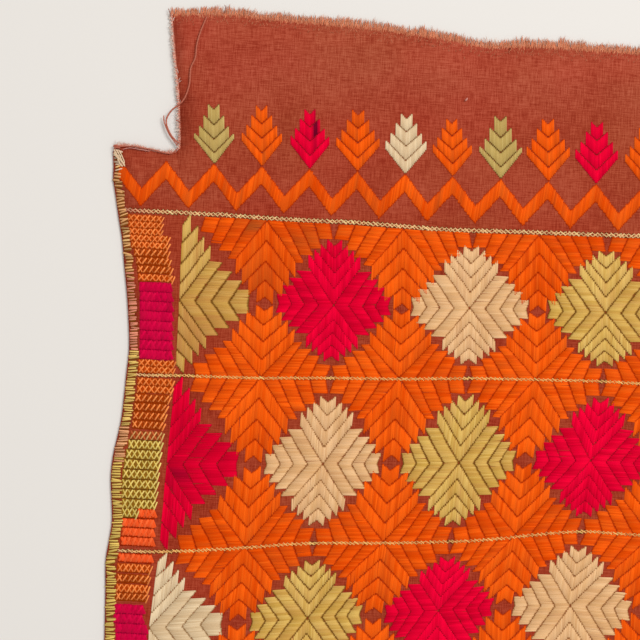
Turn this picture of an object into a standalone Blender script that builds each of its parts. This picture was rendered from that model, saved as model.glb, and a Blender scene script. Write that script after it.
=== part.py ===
"""A phulkari shawl laid out flat: three hand-loomed widths of khaddar, side by side.

The widths are one wall of cloth, flat underneath where it rests. Its top face carries the low
swell of hand-laid cloth and the slightly proud, crowned lozenges of the darned field. The side
edges wander, the two ends are raw out to their fray, and one corner is torn away.

Places are counted on the shawl's own chart: across it from the torn side, and down it from the
torn end. +X runs across, +Y up towards the torn end, +Z up off the floor. Metres.
"""

import math

import bmesh
import bpy

# The chart
REPEAT_WIDTH = 0.096
REPEAT_LENGTH = 0.112
REPEAT_ROWS = 18
LINE_COLUMNS = 12
END_BAND = 0.143
SIDE_BORDER = 0.046
HALF_LOZENGE_LINE = 0.058
FIRST_LINE_COLUMN = 0.117
ZIGZAG_TOP = 0.107
CHART_WIDTH = 2 * FIRST_LINE_COLUMN + (LINE_COLUMNS - 1) * REPEAT_WIDTH
CHART_LENGTH = 2 * END_BAND + REPEAT_ROWS * REPEAT_LENGTH

# The cloth
LOOM_WIDTH = 0.4165
SEAM_GAP = 0.0003
WALL = 0.0014
SWELL_HIGH = 0.0007
DARNING_RISE = 0.0005
SWELL_STARTS = 0.030
LEAST_CELL = 0.004
FINE_ACROSS = 0.440
FINE_DOWN = 0.480
CUTTER_REACH = 0.010

# The side edges: how far down the chart, and how far in from its side
LEFT_EDGE = (
    {"down": 0.000, "inset": 0.008},
    {"down": 0.099, "inset": 0.006},
    {"down": 0.129, "inset": 0.010},
    {"down": 0.171, "inset": 0.020},
    {"down": 0.206, "inset": 0.0235},
    {"down": 0.241, "inset": 0.0235},
    {"down": 0.276, "inset": 0.021},
    {"down": 0.346, "inset": 0.018},
    {"down": 0.444, "inset": 0.0155},
    {"down": 0.560, "inset": 0.018},
    {"down": 0.760, "inset": 0.024},
    {"down": 0.990, "inset": 0.016},
    {"down": 1.250, "inset": 0.023},
    {"down": 1.530, "inset": 0.017},
    {"down": 1.810, "inset": 0.024},
    {"down": 2.080, "inset": 0.017},
    {"down": 2.230, "inset": 0.010},
    {"down": 2.302, "inset": 0.008},
)
RIGHT_EDGE = (
    {"down": 0.000, "inset": 0.012},
    {"down": 0.110, "inset": 0.006},
    {"down": 0.230, "inset": 0.014},
    {"down": 0.400, "inset": 0.022},
    {"down": 0.620, "inset": 0.017},
    {"down": 0.900, "inset": 0.023},
    {"down": 1.160, "inset": 0.018},
    {"down": 1.440, "inset": 0.024},
    {"down": 1.730, "inset": 0.016},
    {"down": 2.010, "inset": 0.022},
    {"down": 2.190, "inset": 0.011},
    {"down": 2.302, "inset": 0.009},
)
# The raw ends, out to the tips of their frayed threads
TOP_EDGE = (
    {"across": 0.000, "inset": 0.004},
    {"across": 0.041, "inset": 0.001},
    {"across": 0.079, "inset": -0.001},
    {"across": 0.102, "inset": 0.000},
    {"across": 0.153, "inset": 0.002},
    {"across": 0.193, "inset": 0.004},
    {"across": 0.234, "inset": 0.008},
    {"across": 0.261, "inset": 0.012},
    {"across": 0.298, "inset": 0.010},
    {"across": 0.420, "inset": 0.011},
    {"across": 0.560, "inset": 0.005},
    {"across": 0.740, "inset": 0.008},
    {"across": 0.930, "inset": 0.002},
    {"across": 1.110, "inset": 0.005},
    {"across": 1.290, "inset": 0.001},
)
BOTTOM_EDGE = (
    {"across": 0.000, "inset": 0.004},
    {"across": 0.190, "inset": 0.001},
    {"across": 0.380, "inset": 0.006},
    {"across": 0.590, "inset": 0.000},
    {"across": 0.820, "inset": 0.005},
    {"across": 1.040, "inset": -0.001},
    {"across": 1.290, "inset": 0.003},
)
# The corner torn away: down the tear from the raw end, round the inner corner, out to the side
TORN_CORNER = (
    {"across": 0.0405, "down": -0.0100},
    {"across": 0.0425, "down": 0.0050},
    {"across": 0.0466, "down": 0.0370},
    {"across": 0.0499, "down": 0.0585},
    {"across": 0.0526, "down": 0.0905},
    {"across": 0.0525, "down": 0.0985},
    {"across": 0.0499, "down": 0.1005},
    {"across": 0.0414, "down": 0.1015},
    {"across": 0.0310, "down": 0.1000},
    {"across": 0.0220, "down": 0.0985},
    {"across": 0.0130, "down": 0.0980},
    {"across": -0.0100, "down": 0.1000},
    {"across": -0.0100, "down": -0.0100},
)
# How far the laid cloth has drifted from its chart, at four columns by the torn corner
DRIFT_COLUMNS = (0.058, 0.165, 0.261, 0.357)
DRIFT_ENDS_ACROSS = 0.850
DRIFT_DOWN = (
    {"down": 0.143, "drift": (-0.0005, -0.0005, 0.0010, -0.0010)},
    {"down": 0.199, "drift": (0.0050, 0.0030, 0.0000, -0.0020)},
    {"down": 0.255, "drift": (0.0010, -0.0030, -0.0060, -0.0090)},
    {"down": 0.311, "drift": (0.0080, 0.0020, -0.0035, -0.0100)},
    {"down": 0.367, "drift": (0.0100, 0.0040, -0.0050, -0.0165)},
    {"down": 0.423, "drift": (0.0110, -0.0020, -0.0120, -0.0200)},
    {"down": 0.620, "drift": (0.0080, -0.0020, -0.0090, -0.0140)},
    {"down": 0.900, "drift": (0.0000, 0.0000, 0.0000, 0.0000)},
)
DRIFT_ACROSS = (
    {"down": 0.143, "drift": (0.0000, -0.0010, -0.0010, -0.0030)},
    {"down": 0.199, "drift": (0.0000, 0.0010, 0.0000, -0.0010)},
    {"down": 0.255, "drift": (0.0000, 0.0010, 0.0010, 0.0000)},
    {"down": 0.311, "drift": (-0.0030, -0.0010, -0.0020, -0.0060)},
    {"down": 0.367, "drift": (-0.0050, -0.0040, -0.0050, -0.0100)},
    {"down": 0.423, "drift": (-0.0090, -0.0060, -0.0110, -0.0150)},
    {"down": 0.620, "drift": (-0.0060, -0.0040, -0.0080, -0.0100)},
    {"down": 0.900, "drift": (0.0000, 0.0000, 0.0000, 0.0000)},
)
# The low swell of the laid cloth, as waves across it
SWELLS = (
    {"wave": 0.310, "turn": 24.0, "start": 0.4, "share": 0.45},
    {"wave": 0.187, "turn": -38.0, "start": 1.9, "share": 0.33},
    {"wave": 0.121, "turn": 71.0, "start": 3.1, "share": 0.22},
)
LOOM_WIDTHS = (
    {"name": "khaddar_width_left", "colour": (0.40, 0.075, 0.032)},
    {"name": "khaddar_width_middle", "colour": (0.37, 0.068, 0.030)},
    {"name": "khaddar_width_right", "colour": (0.42, 0.080, 0.034)},
)


def read_table(table, key, value, where):
    """The value that a table gives at a place, eased from each row to the next."""
    if where <= table[0][key]:
        return table[0][value]
    for low, high in zip(table, table[1:]):
        if where <= high[key]:
            part = (where - low[key]) / (high[key] - low[key])
            eased = part * part * (3 - 2 * part)
            return low[value] + (high[value] - low[value]) * eased
    return table[-1][value]


def drift(table, across, down):
    """How far the laid cloth has drifted from its chart here."""
    columns = []
    for index, place in enumerate(DRIFT_COLUMNS):
        rows = [{"down": row["down"], "drift": row["drift"][index]} for row in table]
        columns.append({"across": place, "drift": read_table(rows, "down", "drift", down)})
    columns.append({"across": DRIFT_ENDS_ACROSS, "drift": 0.0})
    return read_table(columns, "across", "drift", across)


def swell(across, down):
    """The share of the full swell here, from 0 to 1."""
    total = 0.0
    for row in SWELLS:
        turn = math.radians(row["turn"])
        run = across * math.cos(turn) + down * math.sin(turn)
        total += row["share"] * math.sin(2 * math.pi * run / row["wave"] + row["start"])
    return 0.5 + 0.5 * total


def crown(across, down):
    """The share of the darned rise: full at a lozenge's middle, none where lozenges meet."""
    if not HALF_LOZENGE_LINE <= across <= CHART_WIDTH - HALF_LOZENGE_LINE:
        return 0.0
    if not END_BAND <= down <= CHART_LENGTH - END_BAND:
        return 0.0
    column = 2 * (across - FIRST_LINE_COLUMN) / REPEAT_WIDTH
    row = 2 * (down - END_BAND) / REPEAT_LENGTH
    return abs(math.cos(math.pi * column) + math.cos(math.pi * row)) / 2


def top_height(across, down):
    """How high the top face stands off the floor at a charted point."""
    to_side = min(across, CHART_WIDTH - across)
    to_end = min(down, CHART_LENGTH - down)
    started = min(1.0, max(0.0, min(to_side, to_end) / SWELL_STARTS))
    return WALL + SWELL_HIGH * started * swell(across, down) + DARNING_RISE * crown(across, down)


def world(across, down, height):
    """A chart place in the shawl's own frame, whose origin is the middle of its underside."""
    return across - CHART_WIDTH / 2, CHART_LENGTH / 2 - down, height


def lines_between(first, step, count, fine_to):
    """Evenly spaced chart lines, with one more half way between them up to fine_to."""
    lines = []
    for index in range(count):
        line = first + index * step
        lines.append(line)
        if line + step / 2 < fine_to and index < count - 1:
            lines.append(line + step / 2)
    return lines


def column_lines():
    """The chart's lines down the cloth: side borders, and every half repeat between them."""
    half = REPEAT_WIDTH / 2
    sides = [SIDE_BORDER, HALF_LOZENGE_LINE]
    field = lines_between(FIRST_LINE_COLUMN, half, 2 * LINE_COLUMNS - 1, FINE_ACROSS)
    return sides + field + [CHART_WIDTH - line for line in reversed(sides)]


def row_lines():
    """The chart's lines across the cloth: both end bands, and every half repeat between."""
    half = REPEAT_LENGTH / 2
    band = lines_between(0.0, ZIGZAG_TOP / 3, 4, ZIGZAG_TOP)
    field = lines_between(END_BAND, half, 2 * REPEAT_ROWS + 1, FINE_DOWN)
    return band + field + [CHART_LENGTH - line for line in reversed(band)]


def place_across(across, down, left, right):
    """Where a chart column lies on a width, held between its edges or seams."""
    if left is None:
        left = read_table(LEFT_EDGE, "down", "inset", down)
    if right is None:
        right = CHART_WIDTH - read_table(RIGHT_EDGE, "down", "inset", down)
    if across <= left:
        return left
    if across >= right:
        return right
    moved = across + drift(DRIFT_ACROSS, across, down)
    return min(max(moved, left + LEAST_CELL), right - LEAST_CELL)


def place_down(across, down):
    """Where a chart row lies: on the raw edge at either end, and drifted between."""
    if down <= 0.0:
        return read_table(TOP_EDGE, "across", "inset", across)
    if down >= CHART_LENGTH:
        return CHART_LENGTH - read_table(BOTTOM_EDGE, "across", "inset", across)
    return down + drift(DRIFT_DOWN, across, down)


def split_on_low_corners(build):
    """Each cell is parted along the lozenge side that crosses it, from low corner to low."""
    for face in list(build.faces):
        first, second, third, fourth = face.verts
        if first.co.z + third.co.z <= second.co.z + fourth.co.z:
            bmesh.utils.face_split(face, first, third)
        else:
            bmesh.utils.face_split(face, second, fourth)


def raise_walls(build, height):
    """The open sheet becomes a closed one: its copy is moved to height, with a rim between."""
    made = bmesh.ops.extrude_face_region(build, geom=list(build.faces))
    for item in made["geom"]:
        if isinstance(item, bmesh.types.BMVert):
            item.co.z = height
    bmesh.ops.recalc_face_normals(build, faces=build.faces)


def finish_mesh(build, name):
    mesh = bpy.data.meshes.new(name)
    build.to_mesh(mesh)
    build.free()
    return mesh


def loom_width(name, left, right):
    """One width of cloth: a grid on the chart's lines, let down to its flat underside."""
    low = 0.0 if left is None else left
    high = CHART_WIDTH if right is None else right
    inner = [line for line in column_lines() if low + LEAST_CELL < line < high - LEAST_CELL]
    columns = [low, *inner, high]
    rows = row_lines()
    build = bmesh.new()
    bmesh.ops.create_grid(
        build, x_segments=len(columns) - 1, y_segments=len(rows) - 1, size=1.0)
    for vertex in build.verts:
        across = columns[round((1 + vertex.co.x) / 2 * (len(columns) - 1))]
        down = rows[round((1 - vertex.co.y) / 2 * (len(rows) - 1))]
        laid_across = place_across(across, down, left, right)
        laid_down = place_down(laid_across, down)
        vertex.co = world(laid_across, laid_down, top_height(across, down))
    split_on_low_corners(build)
    raise_walls(build, 0.0)
    return finish_mesh(build, name)


def torn_corner_cutter():
    """A closed prism over the corner that is torn away, taller than the wall both ways."""
    build = bmesh.new()
    outline = [world(row["across"], row["down"], -CUTTER_REACH) for row in TORN_CORNER]
    build.faces.new([build.verts.new(place) for place in outline])
    raise_walls(build, CUTTER_REACH)
    cutter = bpy.data.objects.new("torn_corner", finish_mesh(build, "torn_corner"))
    cutter.hide_render = True
    cutter.display_type = "WIRE"
    return cutter


def dyed_khaddar(name, colour):
    """Coarse hand-spun cotton, dyed madder red."""
    material = bpy.data.materials.new(name)
    material.use_nodes = True
    shader = material.node_tree.nodes["Principled BSDF"]
    shader.inputs["Base Color"].default_value = (*colour, 1.0)
    shader.inputs["Roughness"].default_value = 0.85
    shader.inputs["Metallic"].default_value = 0.0
    return material


def clear_scene():
    for item in list(bpy.data.objects):
        bpy.data.objects.remove(item, do_unlink=True)


def new_collection(name):
    group = bpy.data.collections.new(name)
    bpy.context.scene.collection.children.link(group)
    return group


def build_shawl():
    clear_scene()
    shawl = new_collection("Phulkari shawl")
    cutters = new_collection("Cutters")
    left_seam = (CHART_WIDTH - LOOM_WIDTH) / 2
    right_seam = (CHART_WIDTH + LOOM_WIDTH) / 2
    limits = (
        (None, left_seam - SEAM_GAP / 2),
        (left_seam + SEAM_GAP / 2, right_seam - SEAM_GAP / 2),
        (right_seam + SEAM_GAP / 2, None),
    )
    widths = []
    for row, (left, right) in zip(LOOM_WIDTHS, limits):
        width = bpy.data.objects.new(row["name"], loom_width(row["name"], left, right))
        width.data.materials.append(dyed_khaddar(row["name"], row["colour"]))
        shawl.objects.link(width)
        widths.append(width)
    cutter = torn_corner_cutter()
    cutters.objects.link(cutter)
    tear = widths[0].modifiers.new("Torn corner", "BOOLEAN")
    tear.operation = "DIFFERENCE"
    tear.object = cutter


build_shawl()
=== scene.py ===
"""Dresses the phulkari shawl: its khaddar, its darned silk, its worked borders and its raw edges.

Places on the shawl are counted on its chart, in metres: across it from the torn side, and down it
from the torn end. The cloth has drifted a little from the chart near the torn corner, and every
piece is laid by the same drift, so that the stitches stay on their threads.
"""

import logging
import math
from dataclasses import dataclass, replace
from enum import Enum

import bpy
import numpy as np
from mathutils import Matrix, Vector
from mathutils.geometry import delaunay_2d_cdt


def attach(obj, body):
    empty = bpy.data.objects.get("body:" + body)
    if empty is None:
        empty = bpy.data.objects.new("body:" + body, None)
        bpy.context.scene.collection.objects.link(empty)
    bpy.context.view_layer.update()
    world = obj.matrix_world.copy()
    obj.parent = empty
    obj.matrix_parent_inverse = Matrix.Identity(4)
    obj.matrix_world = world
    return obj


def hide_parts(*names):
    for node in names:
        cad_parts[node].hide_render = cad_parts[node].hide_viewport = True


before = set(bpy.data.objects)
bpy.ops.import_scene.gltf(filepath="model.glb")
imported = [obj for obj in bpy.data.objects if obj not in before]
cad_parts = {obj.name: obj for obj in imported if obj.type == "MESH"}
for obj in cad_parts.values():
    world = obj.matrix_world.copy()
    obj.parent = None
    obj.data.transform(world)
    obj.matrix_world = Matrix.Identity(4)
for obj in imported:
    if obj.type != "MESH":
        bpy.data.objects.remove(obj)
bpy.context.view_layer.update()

BODY = "root"
LOG = logging.getLogger("shawl")

Array = np.ndarray
Noise = np.random.Generator
Item = bpy.types.Object
Shade = tuple[float, float, float]
MM = 0.001


class Dye(Enum):
    """The silks of the darning, by their dyer's names."""

    ORANGE = "orange"
    PINK = "pink"
    GREEN = "green"
    CREAM = "cream"
    LEAF = "leaf"
    PALE = "pale"


class Way(Enum):
    """The four ways that the fans of a lozenge open, as steps across and down."""

    UP = (0, -1)
    DOWN = (0, 1)
    LEFT = (-1, 0)
    RIGHT = (1, 0)

    @property
    def step(self) -> Array:
        """The way as one step."""
        return np.array(self.value, float)

    @property
    def back(self) -> "Way":
        """The way round from it."""
        return Way((-self.value[0], -self.value[1]))

    @property
    def side(self) -> "Way":
        """The way in which the floats of its fan lie side by side."""
        return Way.RIGHT if self.value[0] == 0 else Way.DOWN


class Part(Enum):
    """Which floats of a lozenge are worked, as the way to them from its middle."""

    WHOLE = (0, 0)
    RIGHT = (1, 0)
    LEFT = (-1, 0)
    LOWER = (0, 1)
    UPPER = (0, -1)


class Work(Enum):
    """How a row of the side border is worked."""

    CROSS = "open crosses"
    SLANT = "single slants"
    SOLID = "packed crosses"
    DENSE = "packed slants"
    TALL = "tall open crosses"
    SHARED = "tall crosses, then packed slants"


def smooth_curve(places: Array, values: Array, where: Array) -> Array:
    """Reads a smooth curve through known values.

    Args:
        places: Where the values are known, rising.
        values: The value there, or a row of values, one for each place to read.
        where: The places to read.

    Returns:
        The values on the curve, held level past its ends.
    """
    values = np.broadcast_to(values.reshape(len(places), -1), (len(places), len(where)))
    slopes = np.zeros(values.shape)
    slopes[1:-1] = (values[2:] - values[:-2]) / (places[2:] - places[:-2])[:, None]
    where = np.clip(where, places[0], places[-1])
    index = np.clip(np.searchsorted(places, where, side="right") - 1, 0, len(places) - 2)
    each = np.arange(len(where))
    gap = places[index + 1] - places[index]
    part = (where - places[index]) / gap
    low = values[index, each]
    rise = values[index + 1, each] - low
    bend_in = gap * slopes[index, each] - rise
    bend_out = gap * slopes[index + 1, each] - rise
    return low + rise * part + part * (1 - part) * (bend_in * (1 - part) - bend_out * part)


def read_table(table: tuple[tuple, ...], where: Array, column: int = 1) -> Array:
    """Reads one column of a table in millimetres as a smooth curve, in metres."""
    rows = MM * np.array(table, float)
    return smooth_curve(rows[:, 0], rows[:, column], where)


def run_along(path: Array) -> Array:
    """How far along a path each of its places is."""
    return np.concatenate([[0.0], np.cumsum(np.linalg.norm(np.diff(path, axis=0), axis=1))])


def full_cover(dyes: Array) -> Array:
    """Colours within range, with full cover."""
    return np.column_stack([np.clip(dyes, 0, 1), np.ones(len(dyes))])


def add_node(tree: bpy.types.NodeTree, kind: str, inputs: dict | None,
             settings: dict) -> bpy.types.Node:
    """Adds a node to a tree.

    Args:
        tree: The tree.
        kind: The node's type.
        inputs: Values or sockets for its inputs, by name or number.
        settings: The node's own settings.

    Returns:
        The new node.
    """
    node = tree.nodes.new(kind)
    for name, value in settings.items():
        setattr(node, name, value)
    for key, value in (inputs or {}).items():
        fill(tree, node.inputs[key], value)
    return node


def fill(tree: bpy.types.NodeTree, socket: bpy.types.NodeSocket, value: object) -> None:
    """Gives a socket a value, or a wire from another socket."""
    if isinstance(value, bpy.types.NodeSocket):
        tree.links.new(value, socket)
    else:
        socket.default_value = value


def into_scene(name: str, data: object) -> Item:
    """Puts data into the scene as an object."""
    item = bpy.data.objects.new(name, data)
    bpy.context.scene.collection.objects.link(item)
    return item


# Each edge in millimetres: how far down or across, then how far in from the chart
LEFT_EDGE = (
    (0, 8), (90, 6), (101, 6), (112, 7), (122, 7.3), (131, 9.1), (147, 12.2), (164, 15.7), (181, 18.1),
    (197, 20.5), (214, 22.6), (239, 24.6), (256, 23.7), (273, 22.8), (290, 21.6), (302, 19.6),
    (315, 17.3),
    (330, 16.5), (345, 17.8), (361, 18.9), (374, 17.6), (388, 16), (408, 16.8), (444, 18), (560, 20),
    (760, 24), (990, 16), (1250, 23), (1530, 17), (1810, 24), (2080, 17), (2230, 10), (2302, 8),
)
RIGHT_EDGE = (
    (0, 12), (110, 6), (230, 14), (400, 22), (620, 17), (900, 23), (1160, 18), (1440, 24), (1730, 16),
    (2010, 22), (2190, 11), (2302, 9),
)
TOP_EDGE = (
    (0, 4), (41, 1), (79, -1), (102, 0), (153, 2), (193, 4), (234, 8), (261, 12), (298, 10), (420, 11),
    (560, 5), (740, 8), (930, 2), (1110, 5), (1290, 1),
)
BOTTOM_EDGE = (
    (0, 4), (190, 1), (380, 6), (590, 0), (820, 5), (1040, -1), (1290, 3),
)
# The torn corner, from the raw end down to the inner corner and out to the side
TEAR_DOWN = (
    (42, 4), (44, 18), (46.6, 37), (49.9, 58.5), (52.6, 90.5), (52.5, 98.5),
)
TEAR_OUT = (
    (49.9, 100.5), (41.4, 101.5), (31, 100), (22, 98.5), (13, 98), (7.5, 98.5),
)
# The drift of the laid cloth: its columns in metres, then rows in millimetres of how far down
# and the drift at each column
DRIFT_COLUMNS = (0.030, 0.058, 0.165, 0.261, 0.357)
DRIFT_ENDS_ACROSS = 0.850
DRIFT_DOWN = (
    (143, -1, -0.7, -0.2, 1, -1), (199, 5, 5, 3, 0, -2), (255, 2.2, 1.7, -2.2, -7, -10),
    (311, 8, 8, 2, -3.5, -10), (367, 13.8, 12.8, 1.3, -5, -16.5), (423, 12, 11, -2, -12, -20),
    (620, 8, 8, -2, -9, -14), (900, 0, 0, 0, 0, 0),
)
DRIFT_ACROSS = (
    (143, -0.5, -0.5, -1, -1, -3), (199, 0, 0, 1, 0, -1), (255, 0, 0, 1, 1, 0),
    (311, -3, -3, -1, -2, -6), (367, -5, -5, -4, -5, -10), (423, -9, -9, -6, -11, -15),
    (620, -6, -6, -4, -8, -10), (900, 0, 0, 0, 0, 0),
)
# Each swell of the cloth: its wave in metres, its turn in degrees, its start and its share
SWELLS = (
    (0.31, 24, 0.4, 0.45), (0.187, -38, 1.9, 0.33), (0.121, 71, 3.1, 0.22),
)


@dataclass(frozen=True)
class Chart:
    """The chart that the shawl is worked to, and how the cloth lies on the floor."""

    repeat_width: float = 0.096
    repeat_length: float = 0.112
    rows: int = 18
    line_columns: int = 12
    end_band: float = 0.143
    first_line_column: float = 0.117
    half_column: float = 0.058
    loom_width: float = 0.4165
    seam_gap: float = 0.0003
    edge_wander: float = 0.006
    cloth_top: float = 0.0009
    swell_high: float = 0.0007
    swell_starts: float = 0.030

    @property
    def width(self) -> float:
        """The chart's full width."""
        return 2 * self.first_line_column + (self.line_columns - 1) * self.repeat_width

    @property
    def length(self) -> float:
        """The chart's full length."""
        return 2 * self.end_band + self.rows * self.repeat_length

    def line(self, number: int) -> float:
        """How far down the chart a herringbone line is."""
        return self.end_band + number * self.repeat_length

    def drift(self, table: tuple[tuple, ...], places: Array) -> Array:
        """Reads how far the laid cloth has drifted from the chart.

        Args:
            table: The drift down or across, by rows.
            places: Chart places, as (across, down) rows.

        Returns:
            The drift at each place.
        """
        rows = MM * np.array(table)
        columns = np.array([*DRIFT_COLUMNS, DRIFT_ENDS_ACROSS])
        read = [smooth_curve(rows[:, 0], drifts, places[:, 1]) for drifts in rows[:, 1:].T]
        return smooth_curve(columns, np.stack([*read, np.zeros(len(places))]), places[:, 0])

    def laid(self, places: Array) -> Array:
        """Where charted places lie on the drifted cloth, still as (across, down) rows."""
        moved = places.astype(float)
        moved[:, 0] += self.drift(DRIFT_ACROSS, places)
        moved[:, 1] += self.drift(DRIFT_DOWN, places)
        return moved

    def world(self, places: Array) -> Array:
        """The x and y of (across, down) rows in the shawl's frame."""
        return np.stack([places[:, 0] - self.width / 2, self.length / 2 - places[:, 1]], axis=1)

    def cloth_height(self, flat: Array) -> Array:
        """How high the cloth's top face is at x and y rows of the shawl's frame."""
        across = flat[:, 0] + self.width / 2
        down = self.length / 2 - flat[:, 1]
        total = np.zeros(len(flat))
        for wave, turn, start, share in SWELLS:
            run = across * math.cos(math.radians(turn)) + down * math.sin(math.radians(turn))
            total += share * np.sin(2 * math.pi * run / wave + start)
        to_side = np.minimum(across, self.width - across)
        to_end = np.minimum(down, self.length - down)
        started = np.clip(np.minimum(to_side, to_end) / self.swell_starts, 0, 1)
        return self.cloth_top + self.swell_high * started * (0.5 + 0.5 * total)

    def left_edge(self, down: Array) -> Array:
        """How far across the torn side's edge is."""
        return read_table(LEFT_EDGE, down)

    def right_edge(self, down: Array) -> Array:
        """How far across the other side's edge is."""
        return self.width - read_table(RIGHT_EDGE, down)

    def top_edge(self, across: Array) -> Array:
        """How far down the torn end's edge is."""
        return read_table(TOP_EDGE, across)

    def bottom_edge(self, across: Array) -> Array:
        """How far down the other end's edge is."""
        return self.length - read_table(BOTTOM_EDGE, across)

    def seams(self) -> tuple[float, float]:
        """How far across the two seams are."""
        return (self.width - self.loom_width) / 2, (self.width + self.loom_width) / 2


# ---------------------------------------------------------------- finishes


class NodePaper:
    """A material's node tree, with short calls to add to it."""

    def __init__(self, name: str) -> None:
        """Starts an empty material."""
        self.material = bpy.data.materials.new(name)
        self.material.use_nodes = True
        self.tree = self.material.node_tree
        self.shader = self.tree.nodes["Principled BSDF"]

    def add(self, kind: str, inputs: dict | None = None, **settings: object) -> bpy.types.Node:
        """Adds a node, with values or sockets for its inputs and its own settings."""
        return add_node(self.tree, kind, inputs, settings)

    def maths(self, operation: str, first: object, second: object = 0.0, third: object = 0.0) -> object:
        """The output of one sum on values or sockets."""
        inputs = {0: first, 1: second, 2: third}
        return self.add("ShaderNodeMath", inputs, operation=operation).outputs[0]

    def mix(self, share: object, first: object, second: object, blend: str = "MIX") -> object:
        """The output of a colour mix of values or sockets."""
        inputs = {0: share, 6: first, 7: second}
        return self.add("ShaderNodeMix", inputs, data_type="RGBA", blend_type=blend).outputs[2]

    def number(self, name: str) -> object:
        """One number of each stitch."""
        return self.add("ShaderNodeAttribute", attribute_name=name).outputs["Fac"]

    def noise(self, place: object, scale: float, detail: float) -> object:
        """Soft noise from 0 to 1."""
        inputs = {"Vector": place, "Scale": scale, "Detail": detail}
        return self.add("ShaderNodeTexNoise", inputs).outputs["Fac"]

    def rise(self, value: object, low: float, high: float, top: float = 1.0) -> object:
        """A rise from 0 at one value to its top at another."""
        limits = {"Value": value, "From Min": low, "From Max": high, "To Max": top}
        return self.add("ShaderNodeMapRange", limits).outputs[0]

    def bump(self, height: object, strength: float, distance: float) -> object:
        """The normal that a relief gives."""
        inputs = {"Height": height, "Strength": strength, "Distance": distance}
        return self.add("ShaderNodeBump", inputs).outputs[0]

    def set(self, **values: object) -> None:
        """Sets the shader's own sockets, by name with _ for a space."""
        for name, value in values.items():
            fill(self.tree, self.shader.inputs[name.replace("_", " ")], value)


def colour(red: float, green: float, blue: float) -> tuple[float, ...]:
    """A colour with full cover, from its linear parts."""
    return red, green, blue, 1.0


@dataclass(frozen=True)
class KhaddarFinish:
    """Coarse hand-spun cotton in plain weave, dyed madder red and unevenly faded.

    It is painted deeper and redder under the darned field, and half as much by the sprigs of each end
    band: painted shade that the floats cast on the cloth between them.
    """

    deep: Shade = (0.290, 0.031, 0.0150)
    middle: Shade = (0.388, 0.058, 0.0300)
    pale: Shade = (0.475, 0.092, 0.0520)
    browned: Shade = (0.95, 1.16, 1.05)
    # How the cloth is painted darker and redder under the floats, as their shade
    field: Shade = (0.87, 0.68, 0.56)
    threads_a_metre: float = 1300.0
    slub_length: float = 0.0095
    grain: float = 1400.0
    fade_patches: float = 22.0
    brown_patches: float = 9.0
    relief: float = 0.0003
    # From each end: where the painted shade of the floats starts by the sprigs, and where it is full at
    # the field's edge
    sprig_shade_reach: tuple[float, float] = (0.045, 0.075)
    field_shade_reach: tuple[float, float] = (-0.012, 0.006)

    def material(self) -> bpy.types.Material:
        """The weave, with its slubs, its faded patches and its thread relief."""
        paper = NodePaper("madder khaddar")
        place = paper.add("ShaderNodeUVMap", uv_map="chart").outputs["UV"]
        along = 1.0 / self.slub_length
        slubs = []
        for turn in ((self.threads_a_metre, along, 1.0), (along, self.threads_a_metre, 1.0)):
            mapped = paper.add("ShaderNodeMapping", {"Vector": place, "Scale": turn}).outputs[0]
            slubs.append(paper.noise(mapped, 1.0, 2.0))
        half = paper.maths("MULTIPLY", slubs[1], 0.5)
        weave = paper.maths("MULTIPLY_ADD", slubs[0], 0.5, half)
        grain = paper.noise(place, self.grain, 1.0)
        fade = paper.noise(place, self.fade_patches, 5.0)
        brown = paper.rise(paper.noise(place, self.brown_patches, 3.0), 0.38, 0.62)
        spread = paper.maths("MULTIPLY_ADD", weave, 3.4, paper.maths("MULTIPLY_ADD", fade, 0.9, -1.65))
        spread = paper.maths("MULTIPLY_ADD", grain, 0.9, paper.maths("SUBTRACT", spread, 0.45))
        ramp = paper.add("ShaderNodeValToRGB", {"Fac": spread})
        ends = ramp.color_ramp.elements
        ends[0].position, ends[0].color = 0.05, colour(*self.deep)
        ends[1].position, ends[1].color = 0.95, colour(*self.pale)
        ends.new(0.50).color = colour(*self.middle)
        cloth = paper.mix(brown, ramp.outputs["Color"], colour(*self.browned), "MULTIPLY")
        # Painted shade of the floats: half by the sprigs, full under the darned field
        down = paper.add("ShaderNodeSeparateXYZ", {"Vector": place}).outputs["Y"]
        to_end = paper.maths("MINIMUM", down, paper.maths("SUBTRACT", CHART.length, down))
        sprig_shade = paper.rise(to_end, *self.sprig_shade_reach, 0.50)
        low, high = (CHART.end_band + reach for reach in self.field_shade_reach)
        under = paper.maths("ADD", sprig_shade, paper.rise(to_end, low, high, 0.50))
        cloth = paper.mix(under, cloth, colour(*self.field), "MULTIPLY")
        height = paper.maths("ADD", weave, paper.maths("MULTIPLY", grain, 0.6))
        paper.set(Base_Color=cloth, Normal=paper.bump(height, 0.5, self.relief), Roughness=0.9)
        paper.set(Specular_IOR_Level=0.12, Specular_Tint=colour(*self.pale))
        return paper.material


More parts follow.
